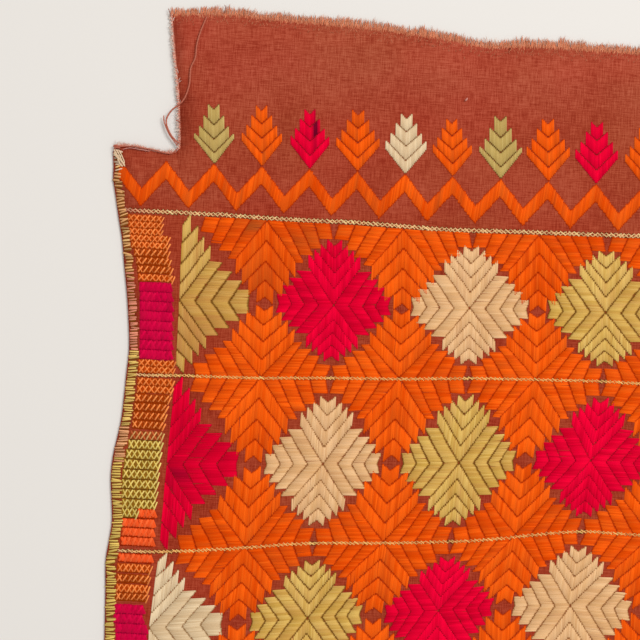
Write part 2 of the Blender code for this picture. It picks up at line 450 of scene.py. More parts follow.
@dataclass(frozen=True)
class SilkFinish:
    """Untwisted silk floss: a soft gloss, and shades that differ a little from float to float.

    Each float is painted darker where it dips into the cloth, as the shade in its needle holes, which
    draws the lines between bands.
    """

    name: str
    bright: Shade
    deep: Shade
    worn: Shade
    needle_hole_shade: Shade
    needle_hole_share: float = 0.105
    wear: float = 0.10
    roughness: float = 0.42
    sheen: float = 0.05

    def material(self) -> bpy.types.Material:
        """The floss, shaded by its own attributes shade and wear."""
        paper = NodePaper(self.name)
        place = paper.add("ShaderNodeTexCoord").outputs["Object"]
        patch = paper.maths("SUBTRACT", paper.noise(place, 38.0, 3.0), 0.5)
        tone = paper.maths("ADD", paper.number("shade"), patch)
        tone = paper.add("ShaderNodeClamp", {"Value": tone}).outputs[0]
        silk = paper.mix(tone, colour(*self.deep), colour(*self.bright))
        silk = paper.mix(paper.number("wear"), silk, colour(*self.worn))
        run = paper.add("ShaderNodeUVMap", uv_map="floss").outputs["UV"]
        along = paper.add("ShaderNodeSeparateXYZ", {"Vector": run}).outputs["Y"]
        to_end = paper.maths("MINIMUM", along, paper.maths("SUBTRACT", 1.0, along))
        # Painted shade at both ends of each float, where it dips into its needle holes
        needle_hole_shading = paper.rise(to_end, self.needle_hole_share, 0.35 * self.needle_hole_share, 0.95)
        silk = paper.mix(needle_hole_shading, silk, colour(*self.needle_hole_shade))
        lines = paper.add("ShaderNodeMapping", {"Vector": run, "Scale": (7.0, 0.6, 1.0)}).outputs[0]
        relief = paper.bump(paper.noise(lines, 1.0, 1.0), 0.25, 0.0002)
        paper.set(Base_Color=silk, Normal=relief, Roughness=self.roughness)
        paper.set(Specular_IOR_Level=0.25, Specular_Tint=colour(*self.bright))
        paper.set(Sheen_Weight=self.sheen, Sheen_Roughness=0.35, Sheen_Tint=colour(*self.bright))
        return paper.material


@dataclass(frozen=True)
class ThreadFinish:
    """Thread that takes each stitch's own colour, dull and twisted or glossy and loose."""

    name: str = "edge thread"
    roughness: float = 0.7
    twist: float = 0.4
    gloss: float = 0.2
    depth: float = 0.5

    def material(self) -> bpy.types.Material:
        """The thread, with the fine turn of its twist."""
        paper = NodePaper(self.name)
        own = paper.add("ShaderNodeAttribute", attribute_name="dye").outputs["Color"]
        dark = paper.mix(self.depth, own, colour(0.05, 0.02, 0.01))
        share = paper.add("ShaderNodeClamp", {"Value": paper.number("shade")}).outputs[0]
        thread = paper.mix(share, dark, own)
        run = paper.add("ShaderNodeUVMap", uv_map="floss").outputs["UV"]
        turn = paper.add("ShaderNodeTexWave", {"Vector": run, "Scale": 3.0, "Distortion": 1.0},
                         bands_direction="DIAGONAL")
        relief = paper.bump(turn.outputs["Fac"], self.twist, 0.0002)
        paper.set(Base_Color=thread, Normal=relief, Roughness=self.roughness)
        paper.set(Specular_IOR_Level=self.gloss, Specular_Tint=own)
        return paper.material


# Each silk: its bright, deep and worn shades, its painted needle-hole shade, then the share of each
# float's length that shade covers at its ends, and its wear
SILKS = {
    Dye.ORANGE: SilkFinish(
        "orange silk", (0.98, 0.132, 0.006), (0.72, 0.064, 0.001), (0.40, 0.075, 0.012),
        (0.44, 0.027, 0.001)),
    Dye.PINK: SilkFinish(
        "pink silk", (0.94, 0.0010, 0.040), (0.64, 0.0004, 0.022), (0.16, 0.002, 0.020),
        (0.33, 0.0010, 0.014), 0.075, 0.05),
    Dye.GREEN: SilkFinish(
        "green silk", (0.78, 0.52, 0.150), (0.58, 0.34, 0.065), (0.50, 0.21, 0.060),
        (0.17, 0.060, 0.004), 0.130, 0.14),
    Dye.CREAM: SilkFinish(
        "cream silk", (0.86, 0.54, 0.28), (0.69, 0.39, 0.17), (0.50, 0.22, 0.11),
        (0.32, 0.125, 0.034), 0.105, 0.08),
    Dye.LEAF: SilkFinish(
        "leaf green silk", (0.60, 0.44, 0.150), (0.46, 0.31, 0.085), (0.42, 0.24, 0.075),
        (0.14, 0.070, 0.010), 0.105, 0.08),
    Dye.PALE: SilkFinish(
        "pale cream silk", (0.86, 0.67, 0.43), (0.66, 0.47, 0.27), (0.50, 0.30, 0.16),
        (0.33, 0.18, 0.070), 0.090, 0.06),
}


# ---------------------------------------------------------------- threads laid by node tree


class LaidThreads:
    """The node tree that lays one thread form at every stitch of a piece."""

    def __init__(self) -> None:
        """Builds the tree once."""
        self.tree = bpy.data.node_groups.new("laid threads", "GeometryNodeTree")
        for name, way, kind in (("Stitches", "INPUT", "Geometry"), ("Thread form", "INPUT", "Object"),
                                ("Finish", "INPUT", "Material"), ("Shade spread", "INPUT", "Float"),
                                ("Seed", "INPUT", "Int"), ("Threads", "OUTPUT", "Geometry")):
            self.tree.interface.new_socket(name=name, in_out=way, socket_type="NodeSocket" + kind)
        start, end = self.node("NodeGroupInput"), self.node("NodeGroupOutput")
        form = self.node("GeometryNodeObjectInfo", {"As Instance": True})
        turn, size = self.node("ShaderNodeCombineXYZ"), self.node("ShaderNodeCombineXYZ")
        lay = self.node("GeometryNodeInstanceOnPoints")
        spread = self.node("FunctionNodeRandomValue", data_type="FLOAT")
        low = self.node("ShaderNodeMath", {1: -1.0}, operation="MULTIPLY")
        shade = self.node("ShaderNodeMath", operation="ADD")
        keep = self.node(
            "GeometryNodeStoreNamedAttribute", {"Name": "shade"}, data_type="FLOAT", domain="INSTANCE")
        real = self.node("GeometryNodeRealizeInstances")
        finish = self.node("GeometryNodeSetMaterial")
        for wire in (
            (self.named("roll"), "Attribute", turn, "Y"), (self.named("turn"), "Attribute", turn, "Z"),
            (self.named("girth"), "Attribute", size, "X"), (self.named("run"), "Attribute", size, "Y"),
            (self.named("rise"), "Attribute", size, "Z"), (start, "Thread form", form, "Object"),
            (start, "Stitches", lay, "Points"), (form, "Geometry", lay, "Instance"),
            (turn, "Vector", lay, "Rotation"), (size, "Vector", lay, "Scale"),
            (start, "Shade spread", low, 0), (low, 0, spread, 2), (start, "Shade spread", spread, 3),
            (start, "Seed", spread, "Seed"), (spread, 1, shade, 0),
            (self.named("tone"), "Attribute", shade, 1),
            (lay, "Instances", keep, "Geometry"), (shade, 0, keep, "Value"),
            (keep, "Geometry", real, "Geometry"), (real, "Geometry", finish, "Geometry"),
            (start, "Finish", finish, "Material"), (finish, "Geometry", end, "Threads"),
        ):
            self.link(*wire)

    def node(self, kind: str, inputs: dict | None = None, **settings: object) -> bpy.types.Node:
        """Adds a node to the tree, with its settings and unlinked values."""
        return add_node(self.tree, kind, inputs, settings)

    def named(self, name: str) -> bpy.types.Node:
        """A node that reads one number of each stitch."""
        return self.node("GeometryNodeInputNamedAttribute", {"Name": name}, data_type="FLOAT")

    def link(self, source: bpy.types.Node, out: object, target: bpy.types.Node, into: object) -> None:
        """Joins two nodes by socket name or number."""
        self.tree.links.new(source.outputs[out], target.inputs[into])

    def lay(self, name: str, stitches: "Stitches", form: Item,
            finish: bpy.types.Material, spread: float, seed: int) -> bpy.types.Mesh:
        """Lays the thread form at each stitch and makes the result a plain mesh.

        Args:
            name: The piece's name.
            stitches: Where the stitches lie, and their sizes.
            form: The thread form, one unit wide, long and high.
            finish: The material.
            spread: How far a stitch's shade may differ from its tone.
            seed: The seed of that difference.

        Returns:
            The mesh of all the threads, on a flat floor.
        """
        mesh = stitches.points(name)
        item = into_scene(name, mesh)
        live = item.modifiers.new("laid threads", "NODES")
        live.node_group = self.tree
        values = {"Thread form": form, "Finish": finish, "Shade spread": spread, "Seed": seed}
        for socket in self.tree.interface.items_tree:
            if socket.in_out == "INPUT" and socket.name in values:
                live[socket.identifier] = values[socket.name]
        graph = bpy.context.evaluated_depsgraph_get()
        made = bpy.data.meshes.new_from_object(item.evaluated_get(graph))
        bpy.data.objects.remove(item)
        bpy.data.meshes.remove(mesh)
        made.name = name
        return made


@dataclass
class Stitches:
    """Stitches of one piece: chart ends, thread sizes, tone and wear."""

    start: Array
    end: Array
    girth: Array
    rise: Array
    tone: Array
    wear: Array
    roll: Array
    dye: Array | None = None

    @classmethod
    def between(cls, start: Array, end: Array, girth: float, rise: float,
                tone: float = 0.5) -> "Stitches":
        """Even stitches between two sets of laid places."""
        full = np.ones(len(start))
        return cls(start, end, girth * full, rise * full, tone * full, 0 * full, 0 * full)

    def chosen(self, keep: Array) -> "Stitches":
        """Only the stitches that keep marks."""
        return Stitches(*(None if held is None else held[keep] for held in vars(self).values()))

    @classmethod
    def joined(cls, sets: list["Stitches"]) -> "Stitches":
        """Several sets of stitches as one."""
        columns = zip(*(vars(one).values() for one in sets))
        return cls(*(None if held[0] is None else np.concatenate(held) for held in columns))

    def middle(self) -> Array:
        """The middle of each stitch, as (across, down) rows."""
        return (self.start + self.end) / 2

    def points(self, name: str) -> bpy.types.Mesh:
        """A mesh of one point for each stitch, which holds its numbers."""
        first, last = CHART.world(self.start), CHART.world(self.end)
        middle, run = (first + last) / 2, last - first
        mesh = bpy.data.meshes.new(name + " stitches")
        mesh.vertices.add(len(middle))
        flat = np.column_stack([middle, np.zeros(len(middle))]).astype(np.float32)
        mesh.vertices.foreach_set("co", flat.ravel())
        numbers = {
            "run": np.linalg.norm(run, axis=1),
            "turn": np.arctan2(-run[:, 0], run[:, 1]),
            "girth": self.girth, "rise": self.rise, "tone": self.tone,
            "wear": self.wear, "roll": self.roll,
        }
        for key, values in numbers.items():
            layer = mesh.attributes.new(key, "FLOAT", "POINT")
            layer.data.foreach_set("value", values.astype(np.float32))
        if self.dye is not None:
            layer = mesh.attributes.new("dye", "FLOAT_COLOR", "POINT")
            layer.data.foreach_set("color", self.dye.astype(np.float32).ravel())
        return mesh


class ThreadForms:
    """The few thread shapes that stitches repeat, each one unit wide, long and high."""

    @staticmethod
    def make(name: str, points: list[tuple], faces: list[tuple], flosses: list[tuple]) -> Item:
        """One thread form as an object.

        Args:
            name: Its name.
            points: Its corners.
            faces: Its faces, by corner number.
            flosses: Where each corner lies on the thread's own map.

        Returns:
            The object, which is removed once the stitches are laid.
        """
        mesh = bpy.data.meshes.new(name)
        mesh.from_pydata(points, [], faces)
        layer = mesh.uv_layers.new(name="floss")
        for loop in mesh.loops:
            layer.data[loop.index].uv = flosses[loop.vertex_index]
        mesh.shade_smooth()
        mesh.update()
        return into_scene(name, mesh)

    @classmethod
    def crowned_float(cls) -> Item:
        """A float that rises from its needle holes to a rounded back."""
        points, flosses = [(0.0, -0.5, 0.0)], [(0.5, 0.0)]
        for along in (-0.47, 0.47):
            for side, high in ((-0.5, 0.25), (0.0, 1.0), (0.5, 0.25)):
                points.append((side, along, high))
                flosses.append((side + 0.5, along + 0.5))
        points.append((0.0, 0.5, 0.0))
        flosses.append((0.5, 1.0))
        faces = [(0, 2, 1), (0, 3, 2), (1, 2, 5, 4), (2, 3, 6, 5), (4, 5, 7), (5, 6, 7)]
        return cls.make("crowned float", points, faces, flosses)

    @classmethod
    def flat_float(cls) -> Item:
        """A float as two narrow faces that lean apart, for the far stretches of the darning."""
        points = [(-0.5, -0.5, 0.2), (0.5, -0.5, 1.1), (0.5, 0.5, 0.2), (-0.5, 0.5, 1.1)]
        flosses = [(0.0, 0.0), (1.0, 0.0), (1.0, 1.0), (0.0, 1.0)]
        item = cls.make("flat float", points, [(0, 1, 2), (0, 2, 3)], flosses)
        item.data.shade_flat()
        return item

    @classmethod
    def edge_wrap(cls) -> Item:
        """A stitch that lies on the cloth and wraps over its edge to the underside."""
        path = ((1.0, 0.1), (0.86, 1.0), (0.42, 1.15), (0.04, 0.75), (-0.06, -0.35), (0.06, -1.0))
        points, flosses = [], []
        for index, (inward, high) in enumerate(path):
            before = path[max(index - 1, 0)]
            after = path[min(index + 1, len(path) - 1)]
            out = Vector((after[1] - before[1], -(after[0] - before[0]))).normalized()
            for side, proud in ((-0.5, 0.0), (0.0, 1.0), (0.5, 0.0)):
                points.append((side, inward - 0.5 + 0.06 * proud * out.x, high + 0.6 * proud * out.y))
                flosses.append((side + 0.5, index / (len(path) - 1)))
        faces = []
        for row in range(len(path) - 1):
            for step in (0, 1):
                low = 3 * row + step
                faces.append((low, low + 3, low + 4, low + 1))
        return cls.make("edge wrap", points, faces, flosses)

    @classmethod
    def thread_end(cls) -> Item:
        """A loose end of yarn, three-sided, that thins and bends to its tip."""
        path = ((-0.5, 0.0, 0.12), (-0.28, 0.03, 0.46), (0.25, 0.18, 0.38))
        points, flosses = [], []
        for along, bend, thick in path:
            for corner in range(3):
                angle = 2 * math.pi * corner / 3
                points.append((
                    thick * math.cos(angle) + bend * 2.0, along, thick * math.sin(angle) + bend))
                flosses.append((corner / 3, along + 0.5))
        points.append((1.0, 0.5, 0.5))
        flosses.append((0.5, 1.0))
        faces = []
        for row in range(2):
            for corner in range(3):
                after = (corner + 1) % 3
                low, high = 3 * row, 3 * row + 3
                faces.append((low + corner, high + corner, high + after, low + after))
        faces += [(6, 9, 7), (7, 9, 8), (8, 9, 6)]
        return cls.make("thread end", points, faces, flosses)


CHART = Chart()
# The corner whose stitches are worked in their full form, across and down
FULL_CORNER = (0.400, 0.480)


def in_full_corner(places: Array) -> Array:
    """Marks the places whose stitches are worked in their full form."""
    return (places < FULL_CORNER).all(axis=1)


class Workroom:
    """What every piece is made with: the node tree, the thread forms and the finishes."""

    def __init__(self) -> None:
        """Makes the tools once."""
        self.threads = LaidThreads()
        self.crowned = ThreadForms.crowned_float()
        self.flat = ThreadForms.flat_float()
        self.wrap = ThreadForms.edge_wrap()
        self.end = ThreadForms.thread_end()
        self.silks = {dye: finish.material() for dye, finish in SILKS.items()}
        self.khaddar = KhaddarFinish().material()
        self.thread = ThreadFinish().material()
        self.floss = ThreadFinish("border silk", 0.45, 0.15, 0.25, 0.35).material()
        self.made: list[Item] = []

    def put_away(self) -> None:
        """Removes the thread forms, which no piece needs once it is laid."""
        for form in (self.crowned, self.flat, self.wrap, self.end):
            mesh = form.data
            bpy.data.objects.remove(form)
            bpy.data.meshes.remove(mesh)

    def piece(self, name: str, mesh: bpy.types.Mesh) -> Item:
        """A finished piece, which rides on the shawl.

        Args:
            name: Its name.
            mesh: Its mesh, in the shawl's frame.

        Returns:
            The piece.
        """
        item = into_scene(name, mesh)
        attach(item, BODY)
        self.made.append(item)
        LOG.info("%s: %d faces", name, len(mesh.polygons))
        return item

    def sewn(self, name: str, stitches: Stitches, form: Item,
             finish: bpy.types.Material, spread: float, seed: int) -> Item:
        """Lays stitches as a piece that follows the swell of the cloth.

        Args:
            name: The piece's name.
            stitches: Its stitches.
            form: The thread form.
            finish: The material.
            spread: How far shades differ.
            seed: The seed of that.

        Returns:
            The piece.
        """
        mesh = self.threads.lay(name, stitches, form, finish, spread, seed)
        places = np.empty(len(mesh.vertices) * 3, np.float32)
        mesh.vertices.foreach_get("co", places)
        places = places.reshape(-1, 3)
        places[:, 2] += CHART.cloth_height(places[:, :2])
        places[:, 2] = np.maximum(places[:, 2], 0.00005)
        mesh.vertices.foreach_set("co", places.ravel())
        mesh.update()
        return self.piece(name, mesh)


# ---------------------------------------------------------------- the cloth


@dataclass
class KhaddarWidths:
    """The three loom widths of khaddar that the shawl is made of."""

    thickness: float = 0.0008
    grid: float = 0.014
    outline_step: float = 0.003
    end_clear: float = 0.004
    fray_inset: float = 0.003
    nibble: float = 0.0003
    tear_step: float = 0.0016
    tear_nibble: float = 0.0005

    def outline(self, left: float | None, right: float | None) -> Array:
        """The outline of one width, as (across, down) rows.

        Args:
            left: Its left seam, or None at the torn side.
            right: Its right seam, or None at the other side.

        Returns:
            The outline's places, turning one way round.
        """
        noise = np.random.default_rng(11)
        step = self.outline_step
        first = CHART.left_edge(np.array([0.0]))[0] if left is None else left
        last = CHART.right_edge(np.array([0.0]))[0] if right is None else right
        downs = np.arange(self.end_clear, CHART.length - self.end_clear, step)
        if left is None:
            downs_left = downs[downs > MM * TEAR_OUT[-1][1] + step]
            side = np.column_stack([CHART.left_edge(downs_left), downs_left])
            tear = MM * np.array(TEAR_DOWN + TEAR_OUT)
            side = np.concatenate([self.torn(tear, noise), side])
            start = tear[0, 0]
        else:
            side = np.column_stack([np.full(len(downs), left), downs])
            start = left
        across = np.arange(first + step, last - step / 2, step)
        low = np.column_stack([across, CHART.bottom_edge(across) - self.fray_inset])
        low[:, 1] += noise.uniform(-self.nibble, self.nibble, len(low))
        if right is None:
            far = np.column_stack([CHART.right_edge(downs), downs])[::-1]
        else:
            far = np.column_stack([np.full(len(downs), right), downs])[::-1]
        across = np.arange(start + step, last - step / 2, step)
        high = np.column_stack([across, CHART.top_edge(across) + self.fray_inset])[::-1]
        high[:, 1] += noise.uniform(-self.nibble, self.nibble, len(high))
        return np.concatenate([side, low, far, high])

    def torn(self, corners: Array, noise: Noise) -> Array:
        """A torn edge through its corners, with the small steps of broken threads."""
        along = run_along(corners)
        where = np.arange(0.0, along[-1], self.tear_step)
        line = np.column_stack([np.interp(where, along, corners[:, axis]) for axis in (0, 1)])
        return line + noise.uniform(-self.tear_nibble, self.tear_nibble, line.shape)

    def sheet(self, work: Workroom, name: str, node: str, left: float | None,
              right: float | None) -> Item:
        """One width: a thin closed shell on the swell, with its chart as a map.

        Args:
            work: The workroom.
            name: The piece's name.
            node: The solid that it stands for.
            left: Its left seam, or None.
            right: Its right seam, or None.

        Returns:
            The sheet.
        """
        rim = self.outline(left, right)
        low, high = rim.min(axis=0), rim.max(axis=0)
        axes = [np.arange(low[i] + self.grid / 2, high[i], self.grid) for i in (0, 1)]
        inside = np.stack(np.meshgrid(*axes), axis=-1).reshape(-1, 2)
        inside = inside[self.clear_of(rim, inside)]
        places = np.concatenate([rim, inside])
        count = len(rim)
        ring = [(i, (i + 1) % count) for i in range(count)]
        found = delaunay_2d_cdt([Vector(place) for place in places], ring, [], 1, 1e-7)
        points = CHART.world(np.array([tuple(point) for point in found[0]]))
        faces = np.array(found[2])
        mesh = self.shell(name, points, faces)
        mesh.materials.append(work.khaddar)
        item = work.piece(name, mesh)
        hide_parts(node)
        return item

    def clear_of(self, rim: Array, places: Array) -> Array:
        """Marks the places inside the rim and not too close to it."""
        across, down = places[:, 0], places[:, 1]
        inside = np.zeros(len(places), bool)
        near = np.zeros(len(places), bool)
        for first, second in zip(rim, np.roll(rim, -1, axis=0)):
            crosses = (first[1] > down) != (second[1] > down)
            if crosses.any():
                slope = (second[0] - first[0]) / (second[1] - first[1])
                inside ^= crosses & (across < first[0] + slope * (down - first[1]))
            band = np.abs(down - first[1]) < self.grid
            near[band] |= np.abs(across[band] - first[0]) < self.grid / 3
        return inside & ~near

    def shell(self, name: str, points: Array, faces: Array) -> bpy.types.Mesh:
        """A closed shell of even thickness, from its flat triangles."""
        count = len(points)
        top = CHART.cloth_height(points)
        low = np.maximum(top - self.thickness, 0.0)
        high_points = np.column_stack([points, top])
        low_points = np.column_stack([points, low])
        first, second, third = (points[faces[:, i]] for i in range(3))
        one, other = second - first, third - first
        turn = one[:, 0] * other[:, 1] - one[:, 1] * other[:, 0]
        faces = np.where((turn < 0)[:, None], faces[:, ::-1], faces)
        edges = np.concatenate([faces[:, [0, 1]], faces[:, [1, 2]], faces[:, [2, 0]]])
        keys = {tuple(edge) for edge in edges.tolist()}
        rim = [edge for edge in keys if (edge[1], edge[0]) not in keys]
        walls = [(b, a, a + count, b + count) for a, b in sorted(rim)]
        under = faces[:, ::-1] + count
        mesh = bpy.data.meshes.new(name)
        mesh.from_pydata(np.concatenate([high_points, low_points]).tolist(), [],
                         faces.tolist() + under.tolist() + walls)
        chart = mesh.uv_layers.new(name="chart")
        corner = np.empty(len(mesh.loops), np.int32)
        mesh.loops.foreach_get("vertex_index", corner)
        flat = points[corner % count]
        placed = np.column_stack([flat[:, 0] + CHART.width / 2, CHART.length / 2 - flat[:, 1]])
        chart.data.foreach_set("uv", placed.astype(np.float32).ravel())
        mesh.polygons.foreach_set("use_smooth", np.arange(len(mesh.polygons)) < 2 * len(faces))
        mesh.update()
        return mesh

    def build(self, work: Workroom) -> list[Item]:
        """The three widths, from the torn side on."""
        left, right = CHART.seams()
        half = CHART.seam_gap / 2
        return [
            self.sheet(work, "khaddar_left", "khaddar_width_left", None, left - half),
            self.sheet(work, "khaddar_middle", "khaddar_width_middle", left + half, right - half),
            self.sheet(work, "khaddar_right", "khaddar_width_right", right + half, None),
        ]


# ---------------------------------------------------------------- the darned field


def everyday_wear(dye: Dye, count: int, noise: Noise) -> Array:
    """How rubbed each of a run of floats is, which changes every few floats."""
    mean = SILKS[dye].wear
    knots = np.arange(0, count + 3, 3)
    runs = np.interp(np.arange(count), knots, noise.normal(mean, 0.8 * mean, len(knots)))
    return np.clip(runs + noise.normal(0, 0.5 * mean, count), 0, 1)


@dataclass(frozen=True)
class Fan:
    """One fan of a lozenge or a sprig: chevron bands of floats that open outwards.

    A float beside the fan's middle line by t runs from notches[k] + leans[k] * t out to the
    same sum of the next band, as far to each side as reaches[k].
    """

    notches: tuple[float, ...]
    leans: tuple[float, ...]
    reaches: tuple[float, ...]

    @property
    def tip(self) -> float:
        """How far out its outermost floats come."""
        return self.notches[-1] + self.leans[-1] * self.reaches[-1]

    def floats(self, pitch: float, gap: float) -> Array:
        """Each float as a row of its offset, its start, its end and its band.

        Args:
            pitch: How far apart the floats lie.
            gap: What is left bare between bands.

        Returns:
            The rows.
        """
        rows = []
        for side in (-1, 1):
            for band, reach in enumerate(self.reaches):
                count = max(1, round(reach / pitch))
                offset = (np.arange(count) + 0.5) / count * reach
                near = self.notches[band] + self.leans[band] * offset + gap / 2
                far = self.notches[band + 1] + self.leans[band + 1] * offset - gap / 2
                rows.append(np.column_stack([side * offset, near, far, np.full(count, band)]))
        return np.concatenate(rows)


# How much lighter or darker each fan is painted by the way its floats lie: painted sheen and shade, as
# the light catches upright and level floats differently
FAN_SHEEN = {Way.UP: 0.14, Way.DOWN: 0.08, Way.LEFT: -0.15, Way.RIGHT: -0.20}


@dataclass(frozen=True)
class LozengeShape:
    """One darned lozenge: two upright fans and two level ones about its middle."""

    upright: Fan
    level: Fan
    pitch: float = 0.00100
    gap: float = -0.00030
    streak: float = 0.15
    streak_width: float = 0.0025
    widest: float = 0.030
    band_tone: float = 0.05

    def fan(self, way: Way) -> Fan:
        """The fan that opens that way."""
        return self.upright if way.value[0] == 0 else self.level

    def tips(self) -> dict[Way, Array]:
        """Where its tips are about its middle, on the chart."""
        return {way: way.step * self.fan(way).tip for way in Way}

    def floats(self, middle: Array, tips: dict[Way, Array], part: Part,
               noise: Noise) -> tuple[Array, Array, Array]:
        """Its floats as they lie on the cloth.

        Args:
            middle: Where its middle is laid.
            tips: From there to each of its laid tips.
            part: Which of its floats are worked.
            noise: The unevenness of its shades.

        Returns:
            The starts, the ends and the tones of its floats.
        """
        starts, ends, tones = [], [], []
        for way in Way:
            fan, side = self.fan(way), way.side
            rows = fan.floats(self.pitch, self.gap)
            middles = (rows[:, 1] + rows[:, 2]) / 2
            charted = np.outer(middles, way.step) + np.outer(rows[:, 0], side.step)
            rows = rows[charted @ np.array(part.value, float) >= 0]
            run = tips[way] / fan.tip
            onward, back = (tips[to] / self.fan(side).tip for to in (side, side.back))
            beside = np.where(rows[:, :1] > 0, rows[:, :1] * onward, -rows[:, :1] * back)
            starts.append(middle + np.outer(rows[:, 1], run) + beside)
            ends.append(middle + np.outer(rows[:, 2], run) + beside)
            knots = np.arange(-self.widest, self.widest + MM, self.streak_width)
            streaks = np.interp(rows[:, 0], knots, noise.normal(0, self.streak, len(knots)))
            bands = noise.normal(0, self.band_tone, len(fan.reaches))
            # The fan's painted sheen and shade, then random streaks and band tones
            tones.append(FAN_SHEEN[way] + streaks + bands[rows[:, 3].astype(int)])
        return np.concatenate(starts), np.concatenate(ends), np.concatenate(tones)


# Each fan in metres: its notches out from the middle, its leans and its reaches to the side
COLOURED = LozengeShape(
    upright=Fan((0.0, 0.0109, 0.0212, 0.0312, 0.0399), (1.38, 1.30, 1.18, 1.00, 0.84),
                (0.0182, 0.0139, 0.0097, 0.0054)),
    level=Fan((0.0, 0.0105, 0.0204, 0.0294, 0.0387), (0.72, 0.72, 0.66, 0.58, 0.30),
              (0.0226, 0.0174, 0.0125, 0.0066)))
SIDE_HALF = LozengeShape(
    upright=Fan((0.0, 0.0106, 0.0230, 0.0365, 0.0480), (1.35, 1.28, 1.20, 1.06, 1.30),
                (0.0196, 0.0151, 0.0106, 0.0054)),
    level=Fan((0.0, 0.0109, 0.0218, 0.0338, 0.0474), (0.74, 0.70, 0.72, 0.68, 0.12),
              (0.0250, 0.0193, 0.0136, 0.0079)))
LINE = LozengeShape(
    upright=Fan((0.0, 0.0130, 0.0266, 0.0392, 0.0502), (1.22, 1.14, 1.04, 0.92, 0.82),
                (0.0212, 0.0166, 0.0121, 0.0058)),
    level=Fan((0.0, 0.0114, 0.0222, 0.0334, 0.0449), (0.82, 0.61, 0.56, 0.38, 0.26),
              (0.0264, 0.0212, 0.0165, 0.0098)))
SPRIG = Fan((0.0, 0.0100, 0.0209, 0.0315, 0.0412), (1.31, 1.09, 0.96, 0.97, 1.15),
            (0.0141, 0.0108, 0.0073, 0.0040))
LEAF_SPRIG = Fan((0.0, 0.0079, 0.0174, 0.0272, 0.0385), (1.28, 1.00, 0.94, 1.03, 0.97),
                 (0.0140, 0.0104, 0.0072, 0.0040))
# The half lozenges of the torn side that differ from their run: how much deeper, and the silk
ODD_HALVES = {0: (-0.20, Dye.GREEN), 1: (-0.38, Dye.PINK), 2: (-0.12, Dye.PALE)}


@dataclass(frozen=True)
class Lozenge:
    """One lozenge of the chart: its silk, its shape, its worked part and its middle."""

    dye: Dye
    shape: LozengeShape
    part: Part
    middle: tuple[float, float]
    tone: float = 0.0

    def placed(self, sway: float) -> tuple[Array, dict[Way, Array]]:
        """Its laid middle and tips.

        Args:
            sway: How much longer or shorter it was worked than charted.

        Returns:
            The middle, and the way from there to each tip.
        """
        middle = np.array([self.middle])
        charted = self.shape.tips()
        places = np.concatenate([middle, [middle[0] + charted[way] for way in Way]])
        laid = CHART.laid(places)
        tips = {way: (laid[number + 1] - laid[0]) * (1 + sway) for number, way in enumerate(Way)}
        return laid[0], tips


@dataclass
class DarnedField:
    """The whole field of lozenges: coloured ones in rows, orange ones on the lines between."""

    girth: float = 0.00128
    rise: float = 0.00055
    half_set_in: float = 0.0024
    sway: float = 0.015
    waver: float = 0.0002
    waves: tuple[tuple[float, float], ...] = ((70, 210), (190, -60))
    end_slip: float = 0.00015
    tones: tuple[float, float] = (0.44, 0.60)
    spread: float = 0.38
    seed: int = 21

    def lozenges(self) -> list[Lozenge]:
        """Every lozenge of the field, row by row and then line by line."""
        found = []
        cycle = (Dye.GREEN, Dye.PINK, Dye.CREAM)
        columns, side = CHART.line_columns, CHART.half_column
        for row in range(CHART.rows):
            down = CHART.line(row) + CHART.repeat_length / 2
            for column in range(columns + 1):
                dye = cycle[(column + row) % 3]
                across = CHART.first_line_column + (column - 0.5) * CHART.repeat_width
                if column == 0:
                    tone, dye = ODD_HALVES.get(row, (0.0, dye))
                    found.append(Lozenge(dye, SIDE_HALF, Part.RIGHT, (side, down), tone))
                elif column == columns:
                    found.append(Lozenge(dye, SIDE_HALF, Part.LEFT, (CHART.width - side, down)))
                else:
                    found.append(Lozenge(dye, COLOURED, Part.WHOLE, (across, down)))
        for line in range(CHART.rows + 1):
            part = {0: Part.LOWER, CHART.rows: Part.UPPER}.get(line, Part.WHOLE)
            down = CHART.line(line) + self.half_set_in * part.value[1]
            for column in range(columns):
                across = CHART.first_line_column + column * CHART.repeat_width
                found.append(Lozenge(Dye.ORANGE, LINE, part, (across, down)))
        return found

    def floats(self) -> dict[Dye, Stitches]:
        """Every float of the field, by silk, laid on the drifted cloth."""
        noise = np.random.default_rng(self.seed)
        kept: dict[Dye, list[tuple[Array, Array, Array]]] = {}
        for lozenge in self.lozenges():
            middle, tips = lozenge.placed(noise.normal(0, self.sway))
            start, end, tone = lozenge.shape.floats(middle, tips, lozenge.part, noise)
            tone += noise.uniform(*self.tones) + lozenge.tone
            kept.setdefault(lozenge.dye, []).append((start, end, tone))
        laid = {}
        for dye, sets in kept.items():
            start, end, tone = (np.concatenate([item[number] for item in sets]) for number in range(3))
            start, end = self.by_hand(start, end, noise)
            stitches = Stitches.between(start, end, self.girth, self.rise)
            stitches.tone = tone
            stitches.wear = stained(dye, stitches.middle()) + everyday_wear(dye, len(start), noise)
            laid[dye] = stitches
        return laid

    def by_hand(self, start: Array, end: Array, noise: Noise) -> tuple[Array, Array]:
        """The small unevenness of a hand: bands that waver, and ends a thread out of line."""
        moved = []
        for ends in (start, end):
            wave = self.waver * np.sin(ends @ np.array(self.waves))
            moved.append(ends + wave + noise.normal(0, self.end_slip, ends.shape))
        return moved[0], moved[1]

    def build(self, work: Workroom) -> dict[str, list[Item]]:
        """The darned pieces, by the loom width that they are worked on."""
        first, second = CHART.seams()
        pieces: dict[str, list[Item]] = {"left": [], "middle": [], "right": []}
        for number, (dye, stitches) in enumerate(self.floats().items()):
            places = stitches.middle()
            shown = in_full_corner(places)
            width = np.searchsorted((first, second), places[:, 0], side="right")
            runs = [("left", "corner", shown, work.crowned, number)]
            if dye is not Dye.PALE:
                runs += [(side, side, (width == place) & ~shown, work.flat, number + 10)
                         for place, side in enumerate(pieces)]
            for side, name, chosen, form, seed in runs:
                pieces[side].append(work.sewn(
                    f"darned_{dye.value}_{name}", stitches.chosen(chosen), form, work.silks[dye],
                    self.spread, seed))
        return pieces
